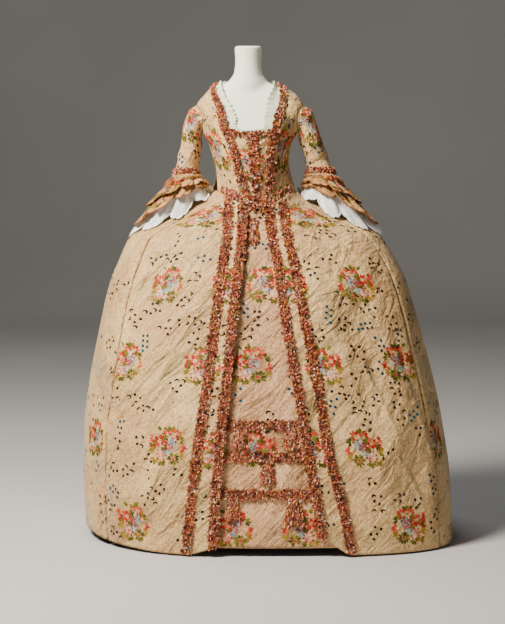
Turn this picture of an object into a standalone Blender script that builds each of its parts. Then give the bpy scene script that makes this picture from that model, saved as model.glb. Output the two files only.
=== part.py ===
"""Robe a la francaise on a limbless dress form.

A brocaded silk gown of about 1770: a fitted bodice with a pointed front, elbow sleeves with
double flounces over cotton ruffles, an open skirt worn over wide side hoops, a petticoat of the
same silk, and a back whose box pleats fall free from the neck to the floor. Fly fringe edges it.

Metres, +Z up, the front toward -Y, the origin under the middle of the stand's base. "Left" and
"right" are -X and +X. Angles go round the body from the middle front (0) to +X (90) and to the
middle back (180); the left side has the negative ones.
"""
import math

import bmesh
import bpy
import numpy as np

for old in list(bpy.data.objects):
    bpy.data.objects.remove(old, do_unlink=True)

SILK = 0.002            # wall of the silk, with its lining
COTTON = 0.0012         # wall of the white cotton and lace
SEAM = 0.0011           # clear space between two pieces at a seam
TRIM_GAP = 0.0012       # clear space between a trimming and the cloth under it
BAND_GAP = 0.0009       # the same for the bands on the petticoat's flatter front
TRIM_RISE = 0.007       # how far the fly fringe stands off the cloth
TRIM_WIDTH = 0.022      # width of one row of fly fringe
UNDER = 0.014           # how far the petticoat lies inside the gown
FORM_UNDER = 0.0076     # how far the dress form lies inside the bodice
HIP_UNDER = 0.014       # and how much further inside below the waist
MM = 0.001

SIDES = {"left": -1, "right": 1}

collection = bpy.data.collections.new("robe_a_la_francaise")
bpy.context.scene.collection.children.link(collection)


# ---------------------------------------------------------------- tables and sheets
def chart(names, *rows):
    """A table with named columns, whose first column is what the others are read at."""
    titles = names.split()
    columns = {title: np.array(values, float) for title, values in zip(titles, zip(*rows))}
    columns["key"] = columns[titles[0]]
    return columns


def read(table, name, at):
    """One column's value, eased from row to row so that no row shows as a kink."""
    keys, values = table["key"], table[name]
    at = min(max(at, keys[0]), keys[-1])
    run = np.diff(keys)
    rise = np.diff(values) / run
    k = min(max(int(np.searchsorted(keys, at)) - 1, 0), len(run) - 1)

    def slope(i):
        if i == 0 or i == len(run):
            return rise[min(i, len(run) - 1)]
        before, after = rise[i - 1], rise[i]
        return 0.0 if before * after <= 0 else 2 * before * after / (before + after)

    t = (at - keys[k]) / run[k]
    ease = t * t * (3 - 2 * t)
    bend = t * (1 - t) * ((1 - t) * slope(k) - t * slope(k + 1)) * run[k]
    return float(values[k] * (1 - ease) + values[k + 1] * ease + bend)


def blend(a, b, t):
    return a + (b - a) * t


def ease(t):
    t = min(max(t, 0.0), 1.0)
    return t * t * (3 - 2 * t)


class Sheet:
    """A piece of cloth as a grid of points, with the way out of the cloth at each."""

    def __init__(self, columns, rows, place, closed=False, middle=None):
        self.points = np.array([[place(c, r) for r in rows] for c in columns], float)
        self.closed = closed
        if closed:
            along = np.roll(self.points, -1, 0) - np.roll(self.points, 1, 0)
        else:
            along = np.gradient(self.points, axis=0)
        out = np.cross(along, np.gradient(self.points, axis=1))
        out /= np.linalg.norm(out, axis=2)[..., None] + 1e-12
        centre = np.array(middle if middle is not None else (self.points[..., 0].mean(), 0, 0), float)
        away = self.points - centre
        if middle is None:
            away[..., 2] = 0
        self.out = out if (out * away).sum() > 0 else -out

    def at(self, column, row, rise=0.0):
        """The point at a column and row, whole or between two, raised off the cloth."""
        count, length = self.points.shape[:2]
        c = column % count if self.closed else min(max(column, 0), count - 1)
        r = min(max(row, 0), length - 1)
        c0 = int(c) if self.closed else min(int(c), count - 2)
        r0 = min(int(r), length - 2)
        c1 = (c0 + 1) % count
        fc, fr = c - c0, r - r0

        def mix(grid):
            low = blend(grid[c0, r0], grid[c1, r0], fc)
            high = blend(grid[c0, r0 + 1], grid[c1, r0 + 1], fc)
            return blend(low, high, fr)

        return mix(self.points) + rise * mix(self.out)


def material(name, colour, roughness, metallic=0.0):
    finish = bpy.data.materials.new(name)
    finish.use_nodes = True
    shader = finish.node_tree.nodes["Principled BSDF"]
    shader.inputs["Base Color"].default_value = (*colour, 1)
    shader.inputs["Roughness"].default_value = roughness
    shader.inputs["Metallic"].default_value = metallic
    finish.diffuse_color = (*colour, 1)
    return finish


def finished(name, bm, colour, roughness=0.7, metallic=0.0, smooth=True):
    """The named object of a bmesh, in the garment's collection."""
    if not any(edge.is_boundary for edge in bm.edges) and bm.calc_volume(signed=True) < 0:
        bmesh.ops.reverse_faces(bm, faces=bm.faces[:])
    mesh = bpy.data.meshes.new(name)
    bm.to_mesh(mesh)
    bm.free()
    mesh.materials.append(material(name, colour, roughness, metallic))
    if smooth:
        mesh.shade_smooth()
        mesh.set_sharp_from_angle(angle=math.radians(50))
    piece = bpy.data.objects.new(name, mesh)
    collection.objects.link(piece)
    return piece


def grid_place(bm, columns, rows):
    """Each point of a fresh grid with its column and row."""
    for vert in bm.verts:
        yield vert, round((vert.co.x + 1) / 2 * (columns - 1)), round((vert.co.y + 1) / 2 * (rows - 1))


def cloth(name, sheet, colour, wall=SILK):
    """A sheet of cloth with its thickness inward of the sheet's points."""
    count, length = sheet.points.shape[:2]
    across = count + 1 if sheet.closed else count
    bm = bmesh.new()
    bmesh.ops.create_grid(bm, x_segments=across - 1, y_segments=length - 1, size=1)
    way = 0.0
    spots = list(grid_place(bm, across, length))
    for vert, c, r in spots:
        vert.co = sheet.points[c % count, r]
    bm.normal_update()
    for vert, c, r in spots:
        way += float(np.dot(vert.normal, sheet.out[c % count, r]))
    if way < 0:
        bmesh.ops.reverse_faces(bm, faces=bm.faces[:])
    if sheet.closed:
        bmesh.ops.remove_doubles(bm, verts=bm.verts[:], dist=1e-6)
    piece = finished(name, bm, colour)
    shell = piece.modifiers.new("wall", "SOLIDIFY")
    shell.thickness = wall
    shell.offset = -1
    return piece


def raised(name, base, top, across, along, colour):
    """A low solid lying on cloth: base(a, t) is its underside and top(a, t) its face."""
    bm = bmesh.new()
    bmesh.ops.create_grid(bm, x_segments=across, y_segments=along, size=1)
    lower = {vert: (vert.co.x / 2 + 0.5, vert.co.y / 2 + 0.5) for vert in bm.verts}
    lifted = bmesh.ops.extrude_face_region(bm, geom=bm.faces[:], use_keep_orig=True)
    upper = [item for item in lifted["geom"] if isinstance(item, bmesh.types.BMVert)]
    for vert in upper:
        vert.co = top(vert.co.x / 2 + 0.5, vert.co.y / 2 + 0.5)
    for vert, (a, t) in lower.items():
        vert.co = base(a, t)
    bmesh.ops.recalc_face_normals(bm, faces=bm.faces[:])
    return finished(name, bm, colour, smooth=False)


FRINGE = (0.52, 0.20, 0.13)


def fly_fringe(name, sheet, line, along, gap=TRIM_GAP):
    """One row of fly fringe: line(t, a) gives the column and row on its sheet, a across it."""
    def base(a, t):
        return sheet.at(*line(t, a), gap)

    def top(a, t):
        tuft = 0.5 + 0.5 * math.sin(along * t * math.pi + 2.1 * math.sin(7.0 * t))
        crown = 1.0 if 0.2 < a < 0.8 else 0.6
        return sheet.at(*line(t, a), gap + TRIM_RISE * crown * (0.72 + 0.28 * tuft))

    return raised(name, base, top, 2, along, FRINGE)


# ---------------------------------------------------------------- the body under the bodice
# Rings round the body from the neck (0) over the shoulders to below the waist. A ring dips: it
# has its own height at the front, side and back. Millimetres.
BODY = chart(
    "ring half front back  z_front z_side z_back lean",
    (0, 40, 42, 40, 1443, 1443, 1443, -41),
    (1, 38, 40, 40, 1405, 1405, 1405, -41),
    (2, 43, 43, 46, 1352, 1368, 1378, -41),
    (3, 62, 50, 62, 1318, 1352, 1360, -42),
    (4, 97, 66, 80, 1282, 1337, 1335, -44),
    (5, 135, 83, 96, 1243, 1308, 1300, -35),
    (6, 159, 98, 104, 1205, 1268, 1255, -36),
    (7, 142, 112, 102, 1165, 1200, 1200, -36),
    (8, 120, 115, 98, 1128, 1158, 1150, -35),
    (9, 109, 106, 92, 1082, 1095, 1090, -28),
    (10, 114, 99, 92, 1030, 1029, 1029, -18),
    (11, 130, 118, 108, 960, 960, 960, -14),
    (12, 128, 112, 108, 880, 880, 880, -10),
)


def body_plain(angle, ring):
    """A point of the bodice's surface."""
    turn = math.radians(angle)
    s, c = math.sin(turn), math.cos(turn)
    depth = read(BODY, "front" if c > 0 else "back", ring)
    level = read(BODY, "z_front" if c > 0 else "z_back", ring)
    x = read(BODY, "lean", ring) + read(BODY, "half", ring) * s
    return np.array((x, -depth * c, blend(level, read(BODY, "z_side", ring), s * s))) * MM


def body(angle, ring, out=0.0):
    """The same point moved out of the cloth by a distance in metres."""
    spot = body_plain(angle, ring)
    if not out:
        return spot
    across = body_plain(angle + 1, ring) - body_plain(angle - 1, ring)
    up = body_plain(angle, max(ring - 0.1, 0)) - body_plain(angle, min(ring + 0.1, 12))
    normal = np.cross(across, up)
    return spot + out * normal / np.linalg.norm(normal)


# ---------------------------------------------------------------- dress form and stand
FORM = (0.86, 0.88, 0.84)
NECK_CAP = 0.007
SHOULDER_RING = 5           # the ring of the form that bears the gown's shoulders,
SHOULDER_UNDER = 0.0034     # how far it lies inside the cloth there,
SHOULDER_POINTS = (4, 14)   # and at which of the ring's points
BASE_RADIUS = 0.17
BASE_HEIGHT = 0.022
POLE_RADIUS = 0.016
TORSO_FOOT = 0.880
CONTACT = 0.0003


def dress_form():
    """A smooth headless, armless torso, closed over at the neck, and flat underneath."""
    segments = 18
    rings = (0, 1, 2, 2.6, 3.2, 4, 5, 5.8, 6.5, 7.2, 8, 9, 10, 11, 12)
    bm = bmesh.new()
    loops = []
    for ring in rings:
        under = FORM_UNDER * ease(ring - 2.2) + HIP_UNDER * ease(ring - 10)
        spots = [body(360 * k / segments, ring, -under) for k in range(segments)]
        if ring == SHOULDER_RING:
            for k in SHOULDER_POINTS:
                spots[k] = body(360 * k / segments, ring, -SHOULDER_UNDER)
        if ring == 12:
            for spot in spots:
                spot[2] = TORSO_FOOT
        loops.append([bm.verts.new(spot) for spot in spots])
    for upper, lower in zip(loops, loops[1:]):
        ring_edges = []
        for loop in (upper, lower):
            for k in range(segments):
                pair = (loop[k], loop[(k + 1) % segments])
                ring_edges.append(bm.edges.get(pair) or bm.edges.new(pair))
        bmesh.ops.bridge_loops(bm, edges=ring_edges)
    bmesh.ops.contextual_create(bm, geom=loops[0])
    bmesh.ops.contextual_create(bm, geom=loops[-1])
    bmesh.ops.recalc_face_normals(bm, faces=bm.faces[:])
    finished("form_torso", bm, FORM, 0.55)


def turned(name, profile, colour, centre, roughness=0.4, metallic=0.0, steps=24):
    """A solid of revolution; the profile runs from the top of the axis down its outer side."""
    mesh = bpy.data.meshes.new(name)
    mesh.from_pydata([(radius, 0, z) for radius, z in profile],
                     [(k, k + 1) for k in range(len(profile) - 1)], [])
    mesh.materials.append(material(name, colour, roughness, metallic))
    piece = bpy.data.objects.new(name, mesh)
    collection.objects.link(piece)
    piece.location = centre
    screw = piece.modifiers.new("turn", "SCREW")
    screw.steps = screw.render_steps = steps
    screw.use_merge_vertices = True
    screw.merge_threshold = 0.00005
    return piece


def stand():
    """Neck cap, pole and the round floor plate that carries the form."""
    neck = body(0, 0)
    neck_top = neck[2]
    neck_x = read(BODY, "lean", 0) * MM
    turned("form_neck_cap",
           [(0, neck_top + NECK_CAP), (0.034, neck_top + NECK_CAP - 0.001),
            (0.039, neck_top + 0.003), (0.039, neck_top + CONTACT), (0, neck_top + CONTACT)],
           (0.80, 0.82, 0.80), (neck_x, -0.001, 0), steps=18)
    turned("form_pole",
           [(0, TORSO_FOOT - CONTACT), (POLE_RADIUS, TORSO_FOOT - CONTACT),
            (POLE_RADIUS, BASE_HEIGHT + CONTACT), (0, BASE_HEIGHT + CONTACT)],
           (0.62, 0.63, 0.64), (0, 0, 0), roughness=0.3, metallic=0.9, steps=14)
    turned("form_base",
           [(0, BASE_HEIGHT), (0.05, BASE_HEIGHT), (BASE_RADIUS - 0.02, 0.012),
            (BASE_RADIUS - 0.003, 0.009), (BASE_RADIUS, 0.005), (BASE_RADIUS, 0), (0, 0)],
           (0.62, 0.63, 0.64), (0, 0, 0), roughness=0.3, metallic=0.9, steps=20)


# ---------------------------------------------------------------- bodice
BODICE = (0.80, 0.67, 0.50)
SHOULDER_POINT = 4.15       # rings: where the neckline meets the shoulder seam,
SHOULDER_TIP = 5.8          # where the shoulder seam meets the armhole,
ARMPIT = 7.05               # the lowest point of the armhole,
NECK_FRONT = 6.2            # and the straight front edge of the neckline
ARMHOLE_ROWS = (5.8, 5.95, 6.2, 6.5, 6.8, 6.97, 7.05)
FRONT_ROWS = (SHOULDER_POINT, 4.4, 4.75, 5.25) + ARMHOLE_ROWS[:-2] + (7.05, 7.75, 8.5, 9.2, 9.72, 10)
BACK_ROWS = (3.9,) + FRONT_ROWS
ARMHOLE_HALF_DEPTH = 0.047

# The front edge of each bodice front: down the side of the neckline, then in to the point. Degrees.
FRONT_EDGE = chart(
    "ring left right",
    (4.15, 70, 70),
    (4.65, 47, 47),
    (5.2, 33, 33),
    (5.85, 25.5, 25.5),
    (6.25, 23, 24),
    (7.45, 16, 23.5),
    (8.3, 15.5, 23.5),
    (9.1, 15, 21.5),
    (9.8, 12, 15),
    (10.35, 5.5, 8.5),
    (10.95, 1.0, 1.2),
)
# The bodice's lower edge: level at the sides, down to a point in front.
WAIST_EDGE = chart(
    "angle ring",
    (0, 10.95),
    (15, 10.62),
    (30, 10.38),
    (45, 10.22),
    (90, 10.0),
)


def armhole_angle(ring, toward_back):
    """How far round from the front the armhole's edge crosses a ring, in degrees."""
    top, foot = body(90, SHOULDER_TIP)[2], body(90, ARMPIT)[2]
    half_height, middle = (top - foot) / 2, (top + foot) / 2

    def outside(angle):
        spot = body(angle, ring)
        return (spot[1] / ARMHOLE_HALF_DEPTH) ** 2 + ((spot[2] - middle) / half_height) ** 2 > 1

    low, high = (130.0, 90.0) if toward_back else (50.0, 90.0)
    if outside(90.001) or not SHOULDER_TIP < ring < ARMPIT:
        return 90.0
    for _ in range(30):
        half = (low + high) / 2
        low, high = (half, high) if outside(half) else (low, half)
    return high


def front_panel(side):
    """Points of one bodice front, from its front edge to the shoulder, armhole and side seam."""
    sign = SIDES[side]
    seam_turn = math.degrees(SEAM / 0.13)

    def edges(ring):
        inner = read(FRONT_EDGE, side, ring)
        outer = armhole_angle(ring, False) - seam_turn * (1 if ring < SHOULDER_TIP + 0.1 else 0.5)
        band = min(math.degrees(TRIM_WIDTH / (read(BODY, "half", ring) * MM)), 0.6 * (outer - inner))
        return inner, band, outer

    def spread(ring, column):
        inner, band, outer = edges(ring)
        if column <= 1:
            return inner + band * column
        return blend(inner + band, outer, (column - 1) / (last - 1))

    def place(column, row):
        foot = 10.3
        for _ in range(12):
            foot = read(WAIST_EDGE, "ring", spread(foot, column))
        ring = blend(FRONT_ROWS[0], foot, (FRONT_ROWS[row] - FRONT_ROWS[0]) / (10 - FRONT_ROWS[0]))
        blouse = 0.0015 * math.sin(3 * column) * ease((ring - 8) / 1)
        return body(sign * spread(ring, column), ring, blouse)

    last = 5
    return Sheet(range(last + 1), range(len(FRONT_ROWS)), place)


def stomacher_panel():
    """Points of the front between the two robings, from the neckline to near the point."""
    rows = (NECK_FRONT, 6.42, 7.0, 7.6, 8.2, 8.8, 9.4, 9.9, 10.3, 10.75)
    columns = (0, 0.2, 0.42, 0.58, 0.8, 1)

    def place(column, row):
        left = -read(FRONT_EDGE, "left", row) + 0.8
        right = read(FRONT_EDGE, "right", row) - 0.8
        crease = 0.0012 * math.sin(9 * column + 2 * row)
        return body(blend(left, right, column), row, crease)

    return Sheet(columns, rows, place)


def back_panel():
    """Points of the fitted back, from side seam to side seam."""
    count = 10
    seam_turn = math.degrees(SEAM / 0.13)

    def place(column, row):
        ring = BACK_ROWS[row]
        edge = armhole_angle(ring, True) + seam_turn * (1 if ring < SHOULDER_TIP + 0.1 else 0.5)
        return body(blend(edge, 360 - edge, column / count), ring)

    return Sheet(range(count + 1), range(len(BACK_ROWS)), place)


def bodice():
    fronts = {}
    for side in SIDES:
        sheet = fronts[side] = front_panel(side)
        cloth("bodice_front_" + side, sheet, BODICE)
        last = len(FRONT_ROWS) - 1
        fly_fringe("robing_fringe_" + side, sheet, lambda t, a: (0.05 + 0.92 * a, 1 + (last - 1) * t), 2 * last - 2)
        fly_fringe("waist_fringe_" + side, sheet,
                   lambda t, a: (1.06 + 2.2 * t, last - 1 + 0.8 * a), 8)
    front = stomacher_panel()
    cloth("stomacher", front, BODICE)
    fly_fringe("neckline_fringe", front, lambda t, a: (0.1 + 4.8 * t, 0.02 + 0.96 * a), 12)
    fly_fringe("stomacher_fringe", front, lambda t, a: (2 + a, 1.06 + 6.9 * t), 14)
    back = back_panel()
    cloth("bodice_back", back, BODICE)
    fly_fringe("back_neck_fringe", back, lambda t, a: (0.1 + 9.8 * t, 0.02 + 0.5 * a), 10)


# ---------------------------------------------------------------- neck frill
# Half of the frill from the middle front (0) round the shoulder to the middle back (180): where
# its root goes under the bodice, where its free edge lies on the form, and how far that stands off.
FRILL = chart(
    "turn root_angle root_ring edge_angle edge_ring stand",
    (0, 0, 6.33, 0, 5.98, 0),
    (18, 18, 6.32, 13, 5.92, 0),
    (27, 26, 6.25, 15, 5.72, 0),
    (42, 30, 5.70, 15.5, 5.25, 0),
    (56, 38, 5.15, 21, 4.75, 1),
    (70, 51, 4.65, 33, 4.2, 3),
    (86, 71, 4.25, 58, 3.75, 6),
    (100, 88, 4.12, 84, 3.5, 5),
    (120, 112, 4.05, 112, 3.5, 3),
    (180, 180, 4.05, 180, 3.5, 3),
)
FRILL_COLUMNS = 48
FRILL_WAVES = 16
FRILL_TUCKED = 0.4          # the share of its width that lies under the bodice or flat beside it


def neck_frill():
    """Gathered lace that stands out of the neckline all the way round."""
    def place(column, row):
        turn = 360 * column / FRILL_COLUMNS
        sign, half_turn = (1, turn) if turn <= 180 else (-1, 360 - turn)
        angle = blend(read(FRILL, "root_angle", half_turn), read(FRILL, "edge_angle", half_turn), row)
        ring = blend(read(FRILL, "root_ring", half_turn), read(FRILL, "edge_ring", half_turn), row)
        free = max(row - FRILL_TUCKED, 0) / (1 - FRILL_TUCKED)
        stand_off = read(FRILL, "stand", half_turn) * free
        wave = 2.4 * free * math.sin(FRILL_WAVES * math.radians(turn))
        spot = body(sign * angle, ring, (-5 + 4 * free + stand_off + wave) * MM)
        spot[2] += 0.35 * (stand_off + wave) * MM
        return spot

    cloth("neck_frill", Sheet(range(FRILL_COLUMNS), (0, FRILL_TUCKED, 1), place, closed=True),
          (0.85, 0.85, 0.80), 0.001)


# ---------------------------------------------------------------- skirt surface
# The gown's skirt at a height: how far it reaches to each side, where its middle lies, how deep
# it is in front and behind, how square its plan is, and how far its widest points lie back (+)
# or forward (-). Millimetres.
SKIRT = chart(
    "height left right middle front back square swing_left swing_right",
    (8, -531, 564, 15, 383, 512, 2.5, 60, -70),
    (75, -536, 560, 14, 378, 503, 2.5, 56, -66),
    (171, -539, 556, 11, 368, 487, 2.5, 50, -56),
    (339, -534, 531, 3, 346, 455, 2.45, 38, -40),
    (459, -517, 507, -2, 322, 425, 2.4, 28, -28),
    (579, -494, 477, -5, 292, 392, 2.4, 18, -18),
    (699, -468, 447, -10, 258, 350, 2.35, 10, -10),
    (771, -447, 423, -11, 230, 318, 2.3, 5, -5),
    (819, -426, 399, -12, 208, 293, 2.3, 2, -2),
    (867, -405, 369, -13, 183, 262, 2.25, 0, 0),
    (891, -391, 352, -14, 168, 243, 2.2, 0, 0),
    (915, -352, 318, -15, 153, 222, 2.15, 0, 0),
    (939, -300, 270, -15, 138, 195, 2.1, 0, 0),
    (969, -231, 200, -16, 122, 160, 2.05, 0, 0),
    (999, -171, 137, -17, 108, 125, 2.0, 0, 0),
    (1029, -134, 98, -18, 99, 92, 2.0, 0, 0),
)
# Soft folds and creases: where each is (degrees), how wide, how deep, the heights between which it
# runs, and how far it leans with height (degrees a metre).
FOLDS = chart(
    "angle width depth foot head lean",
    (-101, 9, 7, 20, 620, 12),
    (-78, 7, -6, 30, 780, -6),
    (-66, 5, -5, 40, 700, 6),
    (-47, 5, 5, 30, 260, 50),
    (-39, 4, -6, 30, 300, 55),
    (-31, 4, 4, 60, 330, 60),
    (-44, 6, -4, 300, 640, 30),
    (21, 5, 4, 260, 820, -6),
    (33, 5, -5, 250, 700, -5),
    (50, 6, -4, 60, 560, -10),
    (57, 5, 5, 20, 420, -12),
    (75, 7, -7, 20, 720, 8),
    (92, 7, 7, 20, 700, -8),
    (108, 8, -6, 20, 640, 4),
)


def fold_relief(angle, height):
    """How far the folds stand out (+) or in (-) at a place, in metres."""
    total = 0.0
    for k in range(len(FOLDS["key"])):
        foot, head = FOLDS["foot"][k], FOLDS["head"][k]
        if foot < height < head:
            line = FOLDS["angle"][k] + FOLDS["lean"][k] * (height - (foot + head) / 2) * MM
            near = math.exp(-((angle - line) / FOLDS["width"][k]) ** 2)
            total += FOLDS["depth"][k] * near * math.sin(math.pi * (height - foot) / (head - foot))
    return total * MM


def skirt_plain(angle, height, folds=1.0):
    """A point of the gown's skirt at an angle (-180 to 180) and a height in millimetres."""
    turn = math.radians(angle)
    s, c = math.sin(turn), math.cos(turn)
    power = 2 / read(SKIRT, "square", height)
    side = "right" if s > 0 else "left"
    middle = read(SKIRT, "middle", height)
    reach = read(SKIRT, side, height) - middle
    depth = -read(SKIRT, "front", height) if c > 0 else read(SKIRT, "back", height)
    across, along = abs(s) ** power, abs(c) ** power
    x = middle + reach * across
    y = depth * along + read(SKIRT, "swing_" + side, height) * across ** 3
    relief = 1 + folds * fold_relief(angle, height) / MM / math.hypot(reach * across, depth * along)
    return np.array((middle + (x - middle) * relief, y * relief, height)) * MM


def skirt(angle, height, out=0.0, folds=1.0):
    """The same point moved out of the cloth by a distance in metres."""
    spot = skirt_plain(angle, height, folds)
    if not out:
        return spot
    across = skirt_plain(angle + 0.5, height, 0) - skirt_plain(angle - 0.5, height, 0)
    up = skirt_plain(angle, height + 4, 0) - skirt_plain(angle, height - 4, 0)
    if height > 1024:
        up = skirt_plain(angle, height, 0) - skirt_plain(angle, height - 8, 0)
    normal = np.cross(across, up)
    return spot + out * normal / (np.linalg.norm(normal) + 1e-12)


def skirt_angle(x, height):
    """The angle at which the front of the skirt passes a given x (metres)."""
    middle = read(SKIRT, "middle", height)
    side = "right" if x / MM > middle else "left"
    share = abs((x / MM - middle) / (read(SKIRT, side, height) - middle))
    turn = math.degrees(math.asin(min(share, 1.0) ** (read(SKIRT, "square", height) / 2)))
    return turn if side == "right" else -turn


def skirt_height(x, y):
    """How high the dome of the skirt stands under a place (metres)."""
    low, high = 300.0, 1029.0
    for _ in range(24):
        height = (low + high) / 2
        middle = read(SKIRT, "middle", height)
        reach = read(SKIRT, "right" if x / MM > middle else "left", height) - middle
        depth = read(SKIRT, "front" if y < 0 else "back", height)
        power = read(SKIRT, "square", height)
        inside = abs((x / MM - middle) / reach) ** power + abs(y / MM / depth) ** power < 1
        low, high = (height, high) if inside else (low, height)
    return low * MM


# ---------------------------------------------------------------- gown skirt
GOWN = (0.78, 0.66, 0.50)
GOWN_ROWS = (1025, 1003, 975, 943, 910, 870, 815, 750, 680, 605, 525, 445, 365, 285, 205, 125, 55, 8)
HEM_FROM = 14               # the rows from here down follow the hem
WAIST_TO = 4                # the rows down to here follow the waist edge
SIDE_SEAM = {"left": 55, "right": 63}
BACK_SEAM = 118             # where the side panels meet the pleated back
# Middle lines of the two fringes on each gown front, at a height. Millimetres.
FRONTS = chart(
    "height left_edge left_trim right_edge right_trim",
    (8, -142, -217, 174, 253),
    (137, -136, -204, 157, 227),
    (306, -123, -185, 126, 185),
    (473, -105, -160, 100, 157),
    (640, -89, -139, 70, 125),
    (806, -70, -116, 46, 93),
    (917, -59, -102, 24, 68),
    (1008, -56, -97, 17, 54),
)
# The hem's height above the floor; the inner corners of the open fronts curl up.
HEM = chart(
    "angle lift",
    (-180, 6),
    (-110, 9),
    (-84, 30),
    (-55, 16),
    (-21, 5),
    (-11, 26),
    (11, 54),
    (21, 6),
    (110, 6),
    (180, 6),
)


def waist_height(angle):
    """Height of the gown's waist seam: just under the bodice's lower edge. Millimetres."""
    x = skirt_plain(angle, 1010)[0] / MM
    lean, half = read(BODY, "lean", 10.3), read(BODY, "half", 10.3)
    turn = math.degrees(math.asin(min(abs(x - lean) / half, 1.0)))
    if abs(angle) > 90:
        turn = 90
    return body(turn, read(WAIST_EDGE, "ring", turn))[2] / MM - 4


def gown_height(angle, row):
    """Height of a row of the gown's skirt at an angle. Millimetres."""
    height = GOWN_ROWS[row]
    if row < WAIST_TO:
        head = waist_height(angle)
        share = (GOWN_ROWS[0] - height) / (GOWN_ROWS[0] - GOWN_ROWS[WAIST_TO])
        return blend(head, GOWN_ROWS[WAIST_TO], share)
    if row > HEM_FROM:
        share = (GOWN_ROWS[HEM_FROM] - height) / (GOWN_ROWS[HEM_FROM] - GOWN_ROWS[-1])
        return blend(GOWN_ROWS[HEM_FROM], read(HEM, "lift", angle), share)
    return height


def gown_front_panel(side):
    """One open front: fringe on its edge (columns 0 to 1) and down its middle (3 to 4)."""
    sign = SIDES[side]
    seam = SIDE_SEAM[side] - 0.1
    last = 10

    def angle_at(column, height):
        edge = read(FRONTS, side + "_edge", height)
        trim = read(FRONTS, side + "_trim", height)
        half = TRIM_WIDTH / 2 / MM
        lines = (edge - sign * half, edge + sign * half, 0, trim - sign * half, trim + sign * half)
        if column == 2:
            return (angle_at(1, height) + angle_at(3, height)) / 2
        if column <= 4:
            return skirt_angle(lines[column] * MM, height)
        return blend(angle_at(4, height), sign * seam, (column - 4) / (last - 4))

    def place(column, row):
        height = GOWN_ROWS[row]
        for _ in range(3):
            angle = angle_at(column, height)
            height = gown_height(angle, row)
        return skirt(angle, height)

    return Sheet(range(last + 1), range(len(GOWN_ROWS)), place, middle=(0, 0.02, 0.3))


def gown_side_panel(side):
    sign = SIDES[side]
    count = 6

    def place(column, row):
        angle = sign * blend(SIDE_SEAM[side] + 0.1, BACK_SEAM - 0.12, column / count)
        return skirt(angle, gown_height(angle, row))

    return Sheet(range(count + 1), range(len(GOWN_ROWS)), place, middle=(0, 0.02, 0.3))


# The loose back above the hips: half its width, how far back its sides and its middle lie, and
# how deep its pleats are. Millimetres.
BACK_FALL = chart(
    "height half side middle pleat",
    (6, 360, 200, 500, 7),
    (300, 360, 180, 450, 9),
    (600, 360, 160, 390, 13),
    (840, 360, 150, 318, 18),
    (900, 304, 140, 288, 20),
    (960, 226, 131, 252, 21),
    (1005, 146, 126, 226, 21),
    (1050, 106, 121, 200, 20),
    (1100, 100, 117, 178, 18),
    (1160, 108, 111, 155, 16),
    (1250, 124, 98, 126, 12),
    (1315, 110, 74, 97, 8),
)
# A box pleat on each side of the middle, each with a second under it: across the back, 0 to 1.
PLEAT = chart("across rise", (0, 0), (0.05, 0), (0.09, 1), (0.29, 1), (0.33, 0.5), (0.5, 0.5), (0.55, 0), (1, 0))
BACK_COLUMNS = (0.05, 0.09, 0.19, 0.29, 0.33, 0.5, 0.55, 0.78, 1.0)
BACK_ROWS_DOWN = (1315, 1240, 1160, 1080, 1005, 940) + GOWN_ROWS[5:]


def sack_back_panel():
    """The pleated back: it hangs from the neck and joins the skirt's round below the hips."""
    lines = [-across for across in reversed(BACK_COLUMNS)] + [0.0] + list(BACK_COLUMNS)

    def place(across, height):
        angle = 180 - across * (180 - BACK_SEAM - 0.12)
        angle = angle - 360 if angle > 180 else angle
        low = skirt_plain(angle, min(height, 1000), 0.0)
        half = read(BACK_FALL, "half", height)
        side, middle = read(BACK_FALL, "side", height), read(BACK_FALL, "middle", height)
        lean = read(SKIRT, "middle", height) + read(BODY, "lean", 5) * ease((height - 900) / 300)
        y = blend(middle, side, abs(across) ** 2.2)
        high = np.array((lean + half * across, y, height)) * MM
        spot = blend(low, high, ease((height - 800) / 140))
        spot[1] += read(PLEAT, "rise", abs(across)) * read(BACK_FALL, "pleat", height) * MM
        spot[1] += 0.004 * math.sin(7 * across + 0.004 * height) * ease((700 - height) / 400) * (
            1 - abs(across) ** 4)
        spot[2] = height * MM
        return spot

    return Sheet(lines, BACK_ROWS_DOWN, place, middle=(0, 0, 0))


def gown_skirt():
    rows = len(GOWN_ROWS) - 1
    for side in SIDES:
        sheet = gown_front_panel(side)
        cloth("gown_front_" + side, sheet, GOWN)
        fly_fringe("edge_fringe_" + side, sheet, lambda t, a: (a, 0.3 + (rows - 0.35) * t), 26)
        fly_fringe("front_fringe_" + side, sheet, lambda t, a: (3 + a, 0.1 + (rows - 0.15) * t), 26)
        cloth("gown_side_" + side, gown_side_panel(side), GOWN)
    cloth("sack_back", sack_back_panel(), GOWN)


# ---------------------------------------------------------------- petticoat
PETTICOAT = (0.74, 0.61, 0.49)
PETTICOAT_ROWS = (1000, 968, 935, 895, 845, 775, 695, 610, 530, 455, 387, 363, 298, 274, 192, 166, 95, 26)
BAND_ROWS = (10, 12, 14)    # each band of fringe runs from this row to the next
PETTICOAT_SEAM = 62
PETTICOAT_COLUMNS = 12
SIDE_CLEAR = 0.75           # clear space at its side seams, degrees,
BACK_CLEAR = 0.95           # and on each side of its back seam, mm
WAIST_UNDER = 0.0025        # the petticoat's depth inside the gown where the two meet at the hips


def petticoat_point(angle, height, rise=0.0):
    under = UNDER * (1 - 0.25 * ease((height - 900) / 100))
    held = ease((height - 970) / 28) * ease((18 - abs(abs(angle) - 84)) / 8)
    under = blend(under, WAIST_UNDER, held)
    return skirt(angle, height, rise - under, 0.5)


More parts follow.
